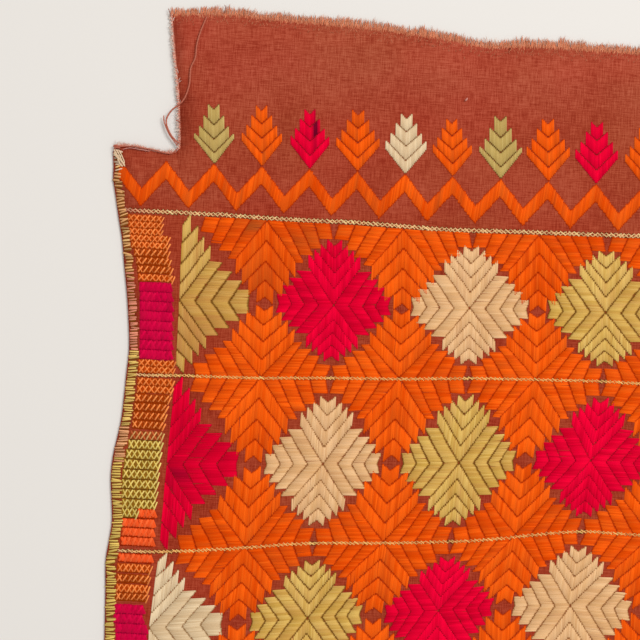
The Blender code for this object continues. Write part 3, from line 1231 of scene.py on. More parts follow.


# Where silk is worn or stained, and one narrow slit painted dark: its dye, across, down and reach in
# millimetres, its share, and how many times longer than wide it is
WORN_SPOTS = (
    (Dye.ORANGE, 106.5, 149, 6, 0.75, 1), (Dye.ORANGE, 144, 158, 10, 0.45, 1),
    (Dye.ORANGE, 113, 185, 15, 0.3, 1), (Dye.GREEN, 66, 229, 16, 0.45, 1),
    (Dye.GREEN, 78, 206, 50, 0.27, 1), (Dye.PINK, 64, 327, 7, 0.55, 1),
    # A narrow slit, painted dark along the pink floats
    (Dye.PINK, 146.7, 79, 1.5, 1.5, 6),
)


def stained(dye: Dye, places: Array) -> Array:
    """How worn or stained each float is, from 0 to 1."""
    total = np.zeros(len(places))
    for silk, across, down, reach, share, tall in WORN_SPOTS:
        if silk is dye:
            away = np.hypot(places[:, 0] / MM - across, (places[:, 1] / MM - down) / tall)
            total += share * np.exp(-(away / reach) ** 2)
    return np.clip(total, 0, 1)


# ---------------------------------------------------------------- zigzag and sprigs


@dataclass
class EndBand:
    """The work on a plain end band: a zigzag, and a leaf sprig on each of its peaks."""

    first_peak: float = 0.0107
    peak_pitch: float = 0.0334
    peaks: int = 39
    peak_down: float = 0.1070
    valley_down: float = 0.1400
    zigzag_high: float = 0.0132
    zigzag_slip: float = 0.00025
    lean: float = 0.0008
    sprig_high: float = 0.045
    sprig_foot: float = 0.0007
    sprig_lean: float = -0.002
    sprig_slip: float = 0.0001
    arm_slope: float = -0.03
    pitch: float = 0.00095
    girth: float = 0.00122
    rise: float = 0.00055
    gap: float = 0.00010
    tone_run: int = 5
    seed: int = 5

    def sprigs(self, flipped: bool) -> dict[Dye, Stitches]:
        """The sprigs of one end, by silk.

        Args:
            flipped: True for the end away from the tear.

        Returns:
            The laid stitches of each silk.
        """
        noise = np.random.default_rng(self.seed + flipped)
        cycle = (Dye.LEAF, Dye.ORANGE, Dye.PINK, Dye.ORANGE, Dye.PALE, Dye.ORANGE)
        kept: dict[Dye, list[tuple[Array, Array]]] = {}
        bare = 1 if flipped else 2
        for peak in range(bare, self.peaks - bare):
            dye = cycle[(peak - 2) % len(cycle)]
            fan = LEAF_SPRIG if dye is Dye.LEAF else SPRIG
            rows = fan.floats(self.pitch, self.gap)
            across = self.first_peak + peak * self.peak_pitch
            foot = np.array([across, self.peak_down + self.sprig_foot])
            lean = noise.normal(self.sprig_lean, 0.001)
            tip = np.array([lean, -self.sprig_high * (0.97 + noise.normal(0, 0.02))])
            wide = 1 + noise.normal(0, 0.04)
            placed = []
            for ends in (rows[:, 1], rows[:, 2]):
                slip = noise.normal(0, self.sprig_slip, len(rows))
                beside = np.outer(rows[:, 0] * wide, (1.0, self.arm_slope))
                placed.append(foot + np.outer(ends + slip, tip / fan.tip) + beside)
            kept.setdefault(dye, []).append((placed[0], placed[1]))
        return {dye: self.placed(sets, flipped) for dye, sets in kept.items()}

    def placed(self, sets: list[tuple[Array, Array]], flipped: bool) -> Stitches:
        """Float ends as stitches, at the torn end or mirrored to the other."""
        placed = []
        for side in (0, 1):
            ends = np.concatenate([item[side] for item in sets])
            if flipped:
                ends[:, 1] = CHART.length - ends[:, 1]
            placed.append(ends)
        return Stitches.between(placed[0], placed[1], self.girth, self.rise, 0.6)

    def zigzag(self, flipped: bool) -> Stitches:
        """The zigzag's upright floats, from side border to side border."""
        noise = np.random.default_rng(self.seed + 40 + flipped)
        corner = np.arange(2 * self.peaks - 1)
        places = self.first_peak + corner * self.peak_pitch / 2
        levels = np.where(corner % 2, self.valley_down - self.zigzag_high, self.peak_down)
        across = np.arange(places[0] + self.lean, places[-1], self.pitch)
        slips = noise.normal(0, self.zigzag_slip, (2, len(across)))
        ends = []
        for lean, high, slip in ((self.lean, 0.0, slips[0]), (-self.lean, self.zigzag_high, slips[1])):
            level = np.interp(across + lean, places, levels) + high
            ends.append(np.column_stack([across + lean, level + slip]))
        return self.placed([(ends[0], ends[1])], flipped)

    def build(self, work: Workroom) -> list[Item]:
        """The zigzags and sprigs of both ends, a piece for each silk."""
        both = Stitches.joined([self.zigzag(False), self.zigzag(True)])
        noise = np.random.default_rng(self.seed + 80)
        count = len(both.tone)
        knots = np.arange(0, count, self.tone_run)
        both.tone = np.interp(np.arange(count), knots, noise.normal(0.46, 0.11, len(knots)))
        both.wear = 1.5 * everyday_wear(Dye.ORANGE, count, noise)
        silk = work.silks[Dye.ORANGE]
        pieces = [work.sewn("zigzags", both, work.crowned, silk, 0.38, 31)]
        near, far = self.sprigs(False), self.sprigs(True)
        for number, dye in enumerate(near):
            stitches = Stitches.joined([near[dye], far[dye]])
            stitches.wear = 1.6 * everyday_wear(dye, len(stitches.wear), noise)
            stitches.wear += stained(dye, stitches.middle())
            stitches.rise *= 1.2
            pieces.append(work.sewn(
                f"sprigs_{dye.value}", stitches, work.crowned, work.silks[dye], 0.35,
                33 + number))
        return pieces


# ---------------------------------------------------------------- lines and side borders


@dataclass
class HerringboneLines:
    """The cream herringbone lines that the field is set out on."""

    first: Shade = (0.0032, 0.0029, 0.0006)
    others: Shade = (0.0031, 0.0019, 0.0003)
    edge_clear: float = 0.0078
    leg_reach: float = 0.62
    leg_slip: float = 0.0003
    shadow_reach: float = 0.30
    shadow_girth: float = 1.6
    waver: float = 0.0003
    cream_run: float = 0.030
    rusty_run: float = 0.022
    girth: float = 0.00080
    rise: float = 0.0009
    layer_rise: tuple[float, ...] = (0.8, 1.0, 0.5, 0.5)
    cream: Shade = (1.00, 0.60, 0.28)
    golden: Shade = (1.00, 0.53, 0.17)
    rusty: Shade = (0.72, 0.30, 0.18)
    shadow: Shade = (0.12, 0.030, 0.002)
    seed: int = 8

    def line(self, number: int, noise: Noise) -> Stitches:
        """One line from side to side: crossed legs, with dark stitches between them that paint the
        shadow there.

        Args:
            number: Which line it is, from the torn end.
            noise: The hand's unevenness.

        Returns:
            Its stitches, each with its own colour.
        """
        down = CHART.line(number)
        pitch, high, below = self.others if number else self.first
        low = CHART.left_edge(np.array([down]))[0] + self.edge_clear
        last = CHART.right_edge(np.array([down]))[0] - self.edge_clear
        across = np.arange(low, last, pitch)
        count = len(across)
        across = across + noise.normal(0, 0.0002, count)
        level = down + CHART.drift(DRIFT_DOWN, np.column_stack([across, np.full(count, down)]))
        level += self.waver * np.sin(across * 60 + number) + noise.normal(0, 0.0001, count) + below
        starts, ends, dyes, girths = [], [], [], []
        from_side = (across - low)[:, None]
        share = np.clip(1 - from_side / self.cream_run, 0, 1) if number else np.ones((count, 1))
        begins = np.clip(1 - from_side / self.rusty_run, 0, 1) * (number == 0)
        own = np.array(self.cream) * share + np.array(self.golden) * (1 - share)
        own = own * (1 - begins) + np.array(self.rusty) * begins
        for slant in (-1, 1):
            slip = noise.normal(0, self.leg_slip, (2, count))
            for kept, side in ((starts, -1), (ends, 1)):
                reach = side * self.leg_reach * pitch
                kept.append(np.column_stack([
                    across + reach + slip[(side + 1) // 2], level + side * slant * high / 2]))
            # One slant is painted a little darker than the other: painted shade on the lower legs
            dyes.append(own * (0.95 + 0.05 * slant + noise.normal(0, 0.14, (count, 1))))
            girths.append(self.girth * (1 + 0.06 * slant + noise.normal(0, 0.16, count)))
        # Dark stitches above and below each crossing: painted shadow
        for side in (-1, 1):
            middle, place = across + pitch / 2, level + side * high * 0.36
            starts.append(np.column_stack([middle - pitch * self.shadow_reach, place]))
            ends.append(np.column_stack([middle + pitch * self.shadow_reach, place + side * 0.0002]))
            dyes.append(np.tile(self.shadow, (count, 1)))
            girths.append(np.full(count, self.girth * self.shadow_girth))
        stitches = Stitches.between(
            np.concatenate(starts), np.concatenate(ends), self.girth, self.rise, 0.95)
        stitches.girth = np.concatenate(girths)
        stitches.rise = self.rise * np.repeat(self.layer_rise, count)
        stitches.dye = full_cover(np.concatenate(dyes))
        return stitches

    def build(self, work: Workroom) -> list[Item]:
        """All the lines, from edge to edge: those by the torn corner, and the rest."""
        noise = np.random.default_rng(self.seed)
        stitches = Stitches.joined([self.line(number, noise) for number in range(CHART.rows + 1)])
        shown = in_full_corner(stitches.middle())
        # The far lines keep only the legs and leave out the painted shadow stitches
        legs = stitches.rise > 0.5 * self.rise
        rows = (("herringbone_corner", shown, work.crowned),
                ("herringbone_lines", legs & ~shown, work.flat))
        return [
            work.sewn(name, stitches.chosen(keep), form, work.thread, 0.25, 50)
            for name, keep, form in rows
        ]


# The side border beside the torn corner, in millimetres: how far down, its inner side and its
# width, then its blocks of rows: how far down, pitch, how many rows, silk and work
BORDER_RUN = (
    (148, 19.2, 23.6), (153, 19.8, 22.8), (157, 20.4, 21.8), (162, 21.4, 26.4), (167, 22.5, 25.5),
    (175, 25.8, 23), (193, 28.9, 24.4), (219, 30.8, 24.4), (246, 31.8, 24.5), (268, 31.4, 24.3),
    (278, 30.4, 22.7), (293, 29.5, 21.9), (314, 26.3, 23.5), (329, 24.5, 24.5), (348, 25.5, 22.9),
    (368, 26, 22.4), (386, 24.8, 23), (414, 24.1, 21.9), (430, 23.2, 22.4),
)
BORDER_ROWS = (
    (148, 4.65, 5, Dye.ORANGE, Work.CROSS), (171.8, 5.8, 3, Dye.ORANGE, Work.SLANT),
    (189.3, 5, 1, Dye.ORANGE, Work.CROSS), (195.6, 6.75, 8, Dye.PINK, Work.SOLID),
    (248.7, 4.8, 2, Dye.ORANGE, Work.CROSS), (261.9, 5.3, 2, Dye.ORANGE, Work.CROSS),
    (273.5, 6.2, 4, Dye.ORANGE, Work.SLANT), (299.7, 6.2, 1, Dye.LEAF, Work.CROSS),
    (306.1, 6.95, 7, Dye.GREEN, Work.TALL), (353.9, 6.8, 1, Dye.GREEN, Work.SHARED),
    (361.1, 6.4, 3, Dye.ORANGE, Work.DENSE), (385.6, 6.4, 1, Dye.ORANGE, Work.DENSE),
    (392.6, 6, 1, Dye.ORANGE, Work.CROSS), (400, 6.2, 1, Dye.ORANGE, Work.SLANT),
    (407, 6, 1, Dye.ORANGE, Work.CROSS), (412.8, 6, 1, Dye.ORANGE, Work.SLANT),
    (421.5, 6.75, 8, Dye.PINK, Work.SOLID),
)


@dataclass(frozen=True)
class BorderDye:
    """The depths of one silk in the side border: top legs; lower legs, partly painted darker as the
    shade under the top legs; a dark base layer and lines between rows, both painted shade.
    """

    bright: Shade
    under: Shade
    base_shade: Shade
    line: Shade


# Each silk: top legs, lower legs partly painted darker as shade, then the base layer and the lines
# between rows, both painted shade
BORDER_DYES = {
    Dye.ORANGE: BorderDye(
        (1.00, 0.285, 0.072), (0.90, 0.200, 0.038), (0.42, 0.050, 0.002), (0.26, 0.030, 0.001)),
    Dye.PINK: BorderDye(
        (0.66, 0.002, 0.055), (0.60, 0.0014, 0.048), (0.50, 0.0008, 0.040), (0.28, 0.0004, 0.028)),
    Dye.GREEN: BorderDye(
        (0.84, 0.640, 0.190), (0.72, 0.520, 0.110), (0.27, 0.120, 0.010), (0.11, 0.040, 0.004)),
    Dye.LEAF: BorderDye(
        (0.70, 0.400, 0.140), (0.62, 0.130, 0.040), (0.30, 0.055, 0.010), (0.10, 0.030, 0.004)),
}


@dataclass(frozen=True)
class WorkSizes:
    """One kind of work: half its height in row pitches, its pitch, its girth and its lean."""

    half: float
    pitch: float
    fat: float
    reach: float


WORK_SIZES = {
    Work.CROSS: WorkSizes(0.46, 0.0038, 1.05, 0.44),
    Work.SLANT: WorkSizes(0.38, 0.0038, 1.15, 0.40),
    Work.SOLID: WorkSizes(0.45, 0.0038, 2.20, 0.44),
    Work.DENSE: WorkSizes(0.42, 0.0040, 1.90, 0.34),
    Work.TALL: WorkSizes(0.42, 0.0041, 1.05, 0.44),
}


@dataclass(frozen=True)
class BorderRow:
    """One row of a side border: how far down it is, its pitch, its silk and how it is worked."""

    down: float
    pitch: float
    dye: Dye
    work: Work


@dataclass
class SideBorders:
    """The worked column down each side, row by row, colour block by colour block."""

    edge_gap: float = 0.0075
    wide: float = 0.0235
    solid_clear: tuple[float, float] = (0.0005, -0.0020)
    shared_at: float = 0.46
    shared_gap: float = 0.0003
    girth: float = 0.00090
    rise: float = 0.00075
    slip: float = 0.00016
    line_slip: float = 0.00025
    seed: int = 61

    def rows(self) -> list[BorderRow]:
        """Every row down the side: the laid ones, then the same turn about to the far end."""
        blocks = list(BORDER_ROWS)
        for line in range(3, CHART.rows):
            top = CHART.line(line) * 1000
            block = (Dye.GREEN, Work.TALL) if line % 2 else (Dye.PINK, Work.SOLID)
            blocks += [
                (top - 12.5, 4.8, 2, Dye.ORANGE, Work.CROSS),
                (top + 4.5, 5.0, 4, Dye.ORANGE, Work.CROSS),
                (top + 25.0, 6.0, 3, Dye.ORANGE, Work.SLANT),
                (top + 44.0, 6.75, 8, *block),
            ]
        return [
            BorderRow(MM * (down + row * pitch), MM * pitch, dye, work)
            for down, pitch, rows, dye, work in blocks for row in range(rows)
        ]

    def legs(self, row: BorderRow, low: float, high: float, noise: Noise) -> Stitches:
        """The stitches of one row between two places across.

        Args:
            row: The row.
            low: Where it starts, across.
            high: Where it ends.
            noise: The hand's unevenness.

        Returns:
            Its dark base layer of painted shade, its lower legs and its top legs, in their own colours.
        """
        kind, dye, sizes, down = row.work, BORDER_DYES[row.dye], WORK_SIZES[row.work], row.down
        solid = kind in (Work.SOLID, Work.DENSE)
        if kind is Work.SOLID:
            low, high = low + self.solid_clear[0], high + self.solid_clear[1]
        half = row.pitch * sizes.half
        fat = sizes.fat
        count = max(1, round((high - low) / sizes.pitch))
        step = (high - low) / count
        reach = step * sizes.reach
        across = low + (np.arange(count) + 0.5) * step
        fine = low + (np.arange(3 * count) + 0.5) * step / 3
        # The dark base layer under the legs and the run between rows are painted shade; the lower legs
        # are partly painted darker as shade
        layers = [
            self.layer(fine, down, 0.0, 0.51 * row.pitch, dye.base_shade, 1.9, 0.22, noise),
            self.layer(across, down, -reach, half, dye.under, fat, 0.8, noise),
            self.layer(across, down, reach, half, dye.bright, fat, 1.0, noise),
            self.shade_between_rows(low, high, down + row.pitch / 2, dye.line, noise),
        ]
        if solid:
            layers.insert(1, self.layer(
                across + step / 2, down, -reach * 0.8, half, dye.under, fat, 0.6, noise))
        if kind is Work.DENSE:
            for layer in layers:
                layer.dye[:, 1:3] *= 0.5
        # Single slants: the base layer and the faint lower legs are painted darker still, as shade
        if kind is Work.SLANT:
            layers[0].dye[:, :3] *= 0.80
            layers[1].dye[:, :3] *= 0.55
            layers[1].girth *= 0.6
            layers.append(self.layer(across[:1], down, -reach, half, dye.bright, 1.0, 1.0, noise))
        if not solid:
            end = np.array([high + 0.0004])
            layers.append(self.layer(
                end, down + half * 0.5, 0.0012, half * 1.25, dye.bright, 1.1, 0.9, noise))
        return Stitches.joined(layers)

    def shade_between_rows(self, low: float, high: float, down: float, dye: Shade,
                     noise: Noise) -> Stitches:
        """A dark run between two rows, in its own colour: painted shade where the rows meet."""
        across = np.linspace(low - 0.0002, high + 0.0002, 5)
        level = down + noise.normal(0, self.line_slip, 5)
        line = np.column_stack([across, level])
        run = Stitches.between(line[:-1], line[1:], 0.9 * self.girth, 0.35 * self.rise, 0.9)
        run.dye = np.tile(colour(*dye), (4, 1))
        return run

    def layer(self, across: Array, down: float, reach: float, half: float, dye: Shade,
              fat: float, rise: float, noise: Noise) -> Stitches:
        """One layer of legs side by side.

        Args:
            across: Where each leg's middle is.
            down: How far down they lie.
            reach: How far their upper ends lean to the right.
            half: Half of their height.
            dye: Their colour.
            fat: Their girth, as a share of a plain leg's.
            rise: Their rise, as a share of a plain leg's.
            noise: The hand's unevenness.

        Returns:
            The legs.
        """
        count = len(across)
        slip = noise.normal(0, self.slip, (4, count))
        start = np.column_stack([across + reach + slip[0], down - half + slip[1]])
        end = np.column_stack([across - reach + slip[2], down + half + slip[3]])
        legs = Stitches.between(start, end, self.girth * fat, self.rise * rise, 0.85)
        legs.girth *= 1 + noise.normal(0, 0.08, count)
        legs.dye = full_cover(np.array(dye) * (1 + noise.normal(0, 0.09, (count, 1))))
        return legs

    def run(self, level: float, side: int) -> tuple[float, float]:
        """Where the border's column starts and how wide it is, beside one side of the cloth."""
        at = np.array([level])
        if side == 1:
            return CHART.right_edge(at)[0] - self.edge_gap - self.wide, self.wide
        if level > MM * BORDER_RUN[-1][0]:
            return CHART.left_edge(at)[0] + self.edge_gap, self.wide
        return read_table(BORDER_RUN, at)[0], read_table(BORDER_RUN, at, 2)[0]

    def build(self, work: Workroom) -> list[Item]:
        """Both side borders, a piece for each side."""
        noise = np.random.default_rng(self.seed)
        pieces = []
        for side, name in enumerate(("side_border_left", "side_border_right")):
            sets = []
            for row in self.rows():
                low, wide = self.run(row.down, side)
                if row.work is Work.SHARED:
                    middle = low + self.shared_at * wide
                    sets.append(self.legs(replace(row, work=Work.TALL), low, middle, noise))
                    other = replace(row, work=Work.DENSE, dye=Dye.ORANGE)
                    sets.append(self.legs(other, middle + self.shared_gap, low + wide, noise))
                else:
                    sets.append(self.legs(row, low, low + wide, noise))
            stitches = Stitches.joined(sets)
            form = work.crowned if side == 0 else work.flat
            pieces.append(work.sewn(name, stitches, form, work.floss, 0.2, 70 + side))
        return pieces


# ---------------------------------------------------------------- edges

# The overcast thread: how far down each colour goes, its reach and the colour
EDGE_COLOURS = (
    (0.115, 0.005, (0.86, 0.6, 0.42)), (0.15, 0.0048, (0.74, 0.37, 0.15)),
    (0.188, 0.0048, (0.74, 0.39, 0.15)), (0.24, 0.0048, (0.76, 0.27, 0.17)),
    (0.296, 0.0056, (0.82, 0.55, 0.15)), (0.318, 0.0062, (0.85, 0.4, 0.19)),
    (0.62, 0.0062, (0.78, 0.54, 0.13)), (0.9, 0.0056, (0.62, 0.33, 0.19)),
    (1.3, 0.0056, (0.6, 0.5, 0.16)), (1.7, 0.0056, (0.66, 0.4, 0.23)),
    (2.4, 0.0056, (0.6, 0.5, 0.16)),
)


@dataclass
class OvercastEdges:
    """The thread that is sewn over and over each side edge."""

    torn_start: float = 0.1010
    end_clear: float = 0.006
    near: float = 0.2
    first_pitch: float = 0.0021
    pitch: float = 0.0018
    inset: float = 0.0010
    waver: float = 0.0003
    slip: float = 0.0003
    colour_blur: float = 0.004
    slant: tuple[float, float] = (0.0004, 0.0005)
    ragged: float = 2.2
    ragged_until: float = 0.175
    girth: float = 0.00104
    rise: float = 0.0006
    # The colour of the stitches in the gaps between the wraps: partly a dark under-thread, partly
    # painted shade there
    shade: Shade = (0.25, 0.075, 0.010)
    seed: int = 90

    def side(self, torn_side: bool) -> Stitches:
        """The wraps of one edge, each from inside the cloth out over its rim."""
        noise = np.random.default_rng(self.seed + torn_side)
        near = np.arange(self.torn_start if torn_side else self.end_clear, self.near, self.first_pitch)
        last = CHART.length - self.end_clear
        down = np.concatenate([near, np.arange(near[-1] + self.pitch, last, self.pitch)])
        count = len(down)
        down = down + noise.normal(0, 0.00025, count)
        edge = CHART.left_edge(down) if torn_side else CHART.right_edge(down)
        inward = 1.0 if torn_side else -1.0
        edge = edge + inward * (self.inset + self.waver * np.sin(down * 400))
        edge = edge + noise.normal(0, self.slip, count)
        until, reaches, dyes = (np.array(column) for column in zip(*EDGE_COLOURS))
        blur = down + noise.normal(0, self.colour_blur, count)
        zone = np.clip(np.searchsorted(until, blur), 0, len(until) - 1)
        reach = reaches[zone] * (1 + noise.normal(0, 0.08, count))
        ragged = np.where(down < self.ragged_until, self.ragged, 1.0)
        slant = noise.normal(*self.slant, count) * ragged
        rim = np.column_stack([edge, down])
        inside = np.column_stack([edge + inward * reach, down - slant])
        stitches = Stitches.between(rim, inside, self.girth, self.rise, 0.85)
        stitches.girth *= 1 + noise.normal(0, 0.14, count)
        stitches.dye = full_cover(
            dyes[zone] * (1 + noise.normal(0, 0.13, (count, 1)) * ragged[:, None]))
        # Dark stitches half a pitch on, in the gaps between the wraps: partly a dark under-thread,
        # partly painted shade
        under = Stitches.between(
            rim + (inward * 0.0006, self.pitch / 2), inside + (-inward * 0.0002, self.pitch / 2),
            1.5 * self.girth, 0.35 * self.rise, 0.8)
        under.dye = np.tile(colour(*self.shade), (count, 1))
        return Stitches.joined([under, stitches])

    def build(self, work: Workroom) -> dict[str, Item]:
        """Both overcast edges."""
        return {
            side: work.sewn(f"overcast_{side}", self.side(side == "left"), work.wrap, work.thread,
                            0.25, 91 + number)
            for number, side in enumerate(("left", "right"))
        }


@dataclass(frozen=True)
class FrayLayer:
    """One depth of fray: how close its ends stand, how long and thick, and their colour."""

    pitch: float
    long: float
    girth: float
    root: float
    lean: float
    dye: Shade
    scatter: float = 0.0008


@dataclass
class RawEdges:
    """The loose yarn ends of the two raw ends and of the tear."""

    shown: float = 0.42
    far_share: float = 2.2
    near_clear: float = 0.013
    far_clear: float = 0.010
    slip: float = 0.0002
    clump: float = 0.0045
    # From the cloth outwards each layer is paler: partly the loose fibre's own paler colour, partly
    # painted light that glows in the fuzz against the floor
    layers: tuple[FrayLayer, ...] = (
        FrayLayer(0.00045, 0.0054, 0.00080, 0.0048, 0.10, (0.74, 0.240, 0.120)),
        FrayLayer(0.00075, 0.0056, 0.00056, 0.0042, 0.22, (0.80, 0.330, 0.190)),
        FrayLayer(0.00190, 0.0056, 0.00040, 0.0036, 0.40, (0.86, 0.480, 0.330)),
        FrayLayer(0.00070, 0.0018, 0.00055, 0.0080, 0.50, (0.60, 0.190, 0.100), 0.0020),
    )
    # The tear's fuzz is painted paler still, near white at its tips: partly its own fibre, partly
    # painted glow against the floor
    tear: tuple[FrayLayer, ...] = (
        FrayLayer(0.00050, 0.0022, 0.00066, 0.0006, 0.35, (0.86, 0.320, 0.220)),
        FrayLayer(0.00060, 0.0026, 0.00050, 0.0000, 0.60, (0.98, 0.680, 0.560)),
        FrayLayer(0.00080, 0.0034, 0.00036, 0.0002, 0.90, (1.00, 0.780, 0.680)),
    )
    seed: int = 17

    def ends(self, places: Array, out: Array, layer: FrayLayer, noise: Noise) -> Stitches:
        """Loose ends that stand out from an edge, in clumps.

        Args:
            places: Where each is rooted, as (across, down) rows.
            out: Which way each points, as (across, down) rows.
            layer: Their sizes and their colour.
            noise: Their unevenness.

        Returns:
            The ends as stitches.
        """
        count = len(places)
        step = max(2, round(self.clump / layer.pitch))
        knots = np.arange(0, count + step, step)
        clumps = np.interp(np.arange(count), knots, noise.normal(0, 0.16, len(knots)))
        leans = np.interp(np.arange(count), knots, noise.normal(0, layer.lean, len(knots)))
        lengths = layer.long * np.clip(1 + clumps + noise.normal(0, 0.12, count), 0.45, 1.6)
        turn = leans + noise.normal(0, 0.5 * layer.lean, count)
        cos, sin = np.cos(turn), np.sin(turn)
        way = np.column_stack([out[:, 0] * cos - out[:, 1] * sin, out[:, 0] * sin + out[:, 1] * cos])
        stitches = Stitches.between(
            places, places + way * lengths[:, None], layer.girth, 0.5 * layer.girth, 1.0)
        stitches.roll = math.pi * noise.integers(0, 2, count) + noise.uniform(-0.5, 0.5, count)
        stitches.dye = full_cover(np.array(layer.dye) * (1 + noise.normal(0, 0.14, (count, 1))))
        return stitches

    def end_fray(self, top: bool) -> Stitches:
        """The fray along one raw end."""
        noise = np.random.default_rng(self.seed + top)
        sets = []
        for layer in self.layers:
            far = layer.pitch * self.far_share
            if top:
                shown = np.arange(MM * TEAR_DOWN[0][0], self.shown, layer.pitch)
                rest = np.arange(self.shown, CHART.width - self.near_clear, far)
                across = np.concatenate([shown, rest])
                down = CHART.top_edge(across) + layer.root
            else:
                across = np.arange(self.far_clear, CHART.width - self.far_clear, far)
                down = CHART.bottom_edge(across) - layer.root
            across = across + noise.normal(0, self.slip, len(across))
            down = down + noise.normal(0, layer.scatter, len(across))
            out = np.tile([0.0, -1.0 if top else 1.0], (len(across), 1))
            sets.append(self.ends(np.column_stack([across, down]), out, layer, noise))
        return Stitches.joined(sets)

    def tear_fray(self) -> Stitches:
        """The short ends along both sides of the tear."""
        noise = np.random.default_rng(self.seed + 5)
        sets = []
        for table, out in ((TEAR_DOWN, (-1.0, 0.15)), (TEAR_OUT, (0.1, -1.0))):
            line = MM * np.array(table)
            along = run_along(line)
            for layer in self.tear:
                where = np.arange(0.0, along[-1], layer.pitch)
                places = np.column_stack([np.interp(where, along, line[:, i]) for i in (0, 1)])
                places = places - layer.root * np.array(out)
                sets.append(self.ends(places, np.tile(out, (len(places), 1)), layer, noise))
        return Stitches.joined(sets)

    def build(self, work: Workroom) -> list[Item]:
        """The fray of each raw edge."""
        rows = (("fray_torn_end", self.end_fray(True)), ("fray_far_end", self.end_fray(False)),
                ("fray_tear", self.tear_fray()))
        return [
            work.sewn(name, stitches, work.end, work.thread, 0.15, 100 + number)
            for number, (name, stitches) in enumerate(rows)
        ]


YARN_RED = (0.53, 0.150, 0.095)
YARN_PINK = (0.66, 0.270, 0.220)
YARN_BROWN = (0.33, 0.110, 0.080)
YARN_CREAM = (0.86, 0.620, 0.400)
YARN_DARK = (0.10, 0.020, 0.012)
# Each loose thread: how thick it is in millimetres, its colour and its path across and down
LOOSE_THREADS = (
    (1.1, YARN_RED, ((66.9, 5), (63, 16), (60.9, 25.5), (60.4, 34), (57.6, 41.8), (57.1, 53.8),
                     (53.4, 64.5), (45.2, 72.6), (42.4, 79.8), (46, 88.7), (51.9, 94.7))),
    (0.8, YARN_RED, ((40.5, 75.6), (40.8, 79.2), (42.5, 83.9), (45, 88.7), (48, 92.5), (51.3, 96.2))),
    (0.8, YARN_RED, ((6.6, 99.1), (11.6, 98.8), (19.7, 98.2), (25.8, 98.9), (33.9, 99.9),
                     (40, 101.2), (47.3, 101.8), (51.4, 97.9))),
    (0.6, YARN_PINK, ((13, 100.8), (17.8, 99.5), (23.8, 100.1), (31.9, 101))),
    (0.7, YARN_RED, ((52.6, 79.8), (50.6, 78.8), (48.9, 78.5))),
    (0.5, YARN_BROWN, ((41.7, 6.2), (40.8, 3.4), (39.6, 0.7))),
    (0.5, YARN_BROWN, ((79, 2), (79.5, -2), (78.8, -4))),
    (1, YARN_CREAM, ((7.5, 102.6), (8.3, 105.2), (10.5, 107.8), (11.2, 110.4), (13.6, 112.8))),
    (0.9, YARN_CREAM, ((6.6, 103.6), (9.8, 105.8), (10, 109))),
    (1, YARN_CREAM, ((6.8, 101), (8.8, 104.2), (11.2, 107.5), (14, 110.8), (15.2, 112.6))),
    (0.9, YARN_CREAM, ((8.2, 101.2), (10.4, 104), (12.4, 107.8), (15, 111.8))),
    (0.8, YARN_CREAM, ((10, 101), (11.6, 103.4), (13.6, 107.2), (14.6, 110), (13.4, 112.2))),
    (1.4, YARN_PINK, ((250.2, 54.5), (251.2, 53.2), (251.8, 52.2))),
    (1.1, YARN_DARK, ((279.1, 16), (279.7, 16.4), (280.1, 16.9))),
    (1.2, YARN_RED, ((6.2, 99.2), (7.8, 98.1), (9.8, 99))),
    (1.2, YARN_RED, ((6.8, 100.6), (8.8, 99.6), (11.4, 100))),
)


@dataclass
class LooseThreads:
    """The yarn pulled out along the tear, which lies over the cloth and the floor."""

    lift: float = 0.0006
    step: float = 0.0007
    taper: float = 0.0015
    end_share: float = 0.4
    twist: float = 2600
    unevenness: float = 0.12
    sides: int = 6

    def yarn(self, thick: float, path: Array) -> tuple[Array, Array]:
        """One loose thread as a round tube that lies on the cloth.

        Args:
            thick: How thick it is.
            path: Its path, as (across, down) rows.

        Returns:
            Its corners, ring by ring, and its faces by corner number.
        """
        along = run_along(path)
        rings = max(4, round(along[-1] / self.step))
        where = np.linspace(0.0, along[-1], rings)
        flat = CHART.world(
            np.column_stack([smooth_curve(along, path[:, axis], where) for axis in (0, 1)]))
        way = np.gradient(flat, axis=0)
        way /= np.linalg.norm(way, axis=1)[:, None]
        beside = np.column_stack([-way[:, 1], way[:, 0]])
        to_end = np.minimum(where, along[-1] - where)
        thick = thick / 2 * np.clip(self.end_share + to_end / self.taper, 0, 1)
        thick = thick * (1 + self.unevenness * np.sin(where * self.twist))
        angles = 2 * math.pi * np.arange(self.sides) / self.sides
        over = CHART.cloth_height(flat) + self.lift + thick
        spots = np.empty((rings, self.sides, 3))
        out = (thick[:, None] * np.cos(angles))[:, :, None]
        spots[:, :, :2] = flat[:, None] + beside[:, None] * out
        spots[:, :, 2] = over[:, None] + thick[:, None] * np.sin(angles)
        ring, side = np.meshgrid(np.arange(rings - 1), np.arange(self.sides), indexing="ij")
        after = (side + 1) % self.sides
        corners = [ring * self.sides + side, ring * self.sides + after,
                   (ring + 1) * self.sides + after, (ring + 1) * self.sides + side]
        return spots.reshape(-1, 3), np.stack(corners, axis=-1).reshape(-1, 4)

    def build(self, work: Workroom) -> Item:
        """Every loose thread, as one piece."""
        spots, faces, dyes, total = [], [], [], 0
        for thick, dye, path in LOOSE_THREADS:
            own, quads = self.yarn(MM * thick, MM * np.array(path))
            spots.append(own)
            faces.append(quads + total)
            dyes.append(np.tile(colour(*dye), (len(own), 1)))
            total += len(own)
        mesh = bpy.data.meshes.new("loose_threads")
        mesh.from_pydata(np.concatenate(spots).tolist(), [], np.concatenate(faces).tolist())
        dye = mesh.attributes.new("dye", "FLOAT_COLOR", "POINT")
        dye.data.foreach_set("color", np.concatenate(dyes).astype(np.float32).ravel())
        shade = mesh.attributes.new("shade", "FLOAT", "POINT")
        shade.data.foreach_set("value", np.full(total, 0.9, np.float32))
        mesh.uv_layers.new(name="floss")
        mesh.materials.append(work.thread)
        mesh.shade_smooth()
        return work.piece("loose_threads", mesh)


# ---------------------------------------------------------------- studio


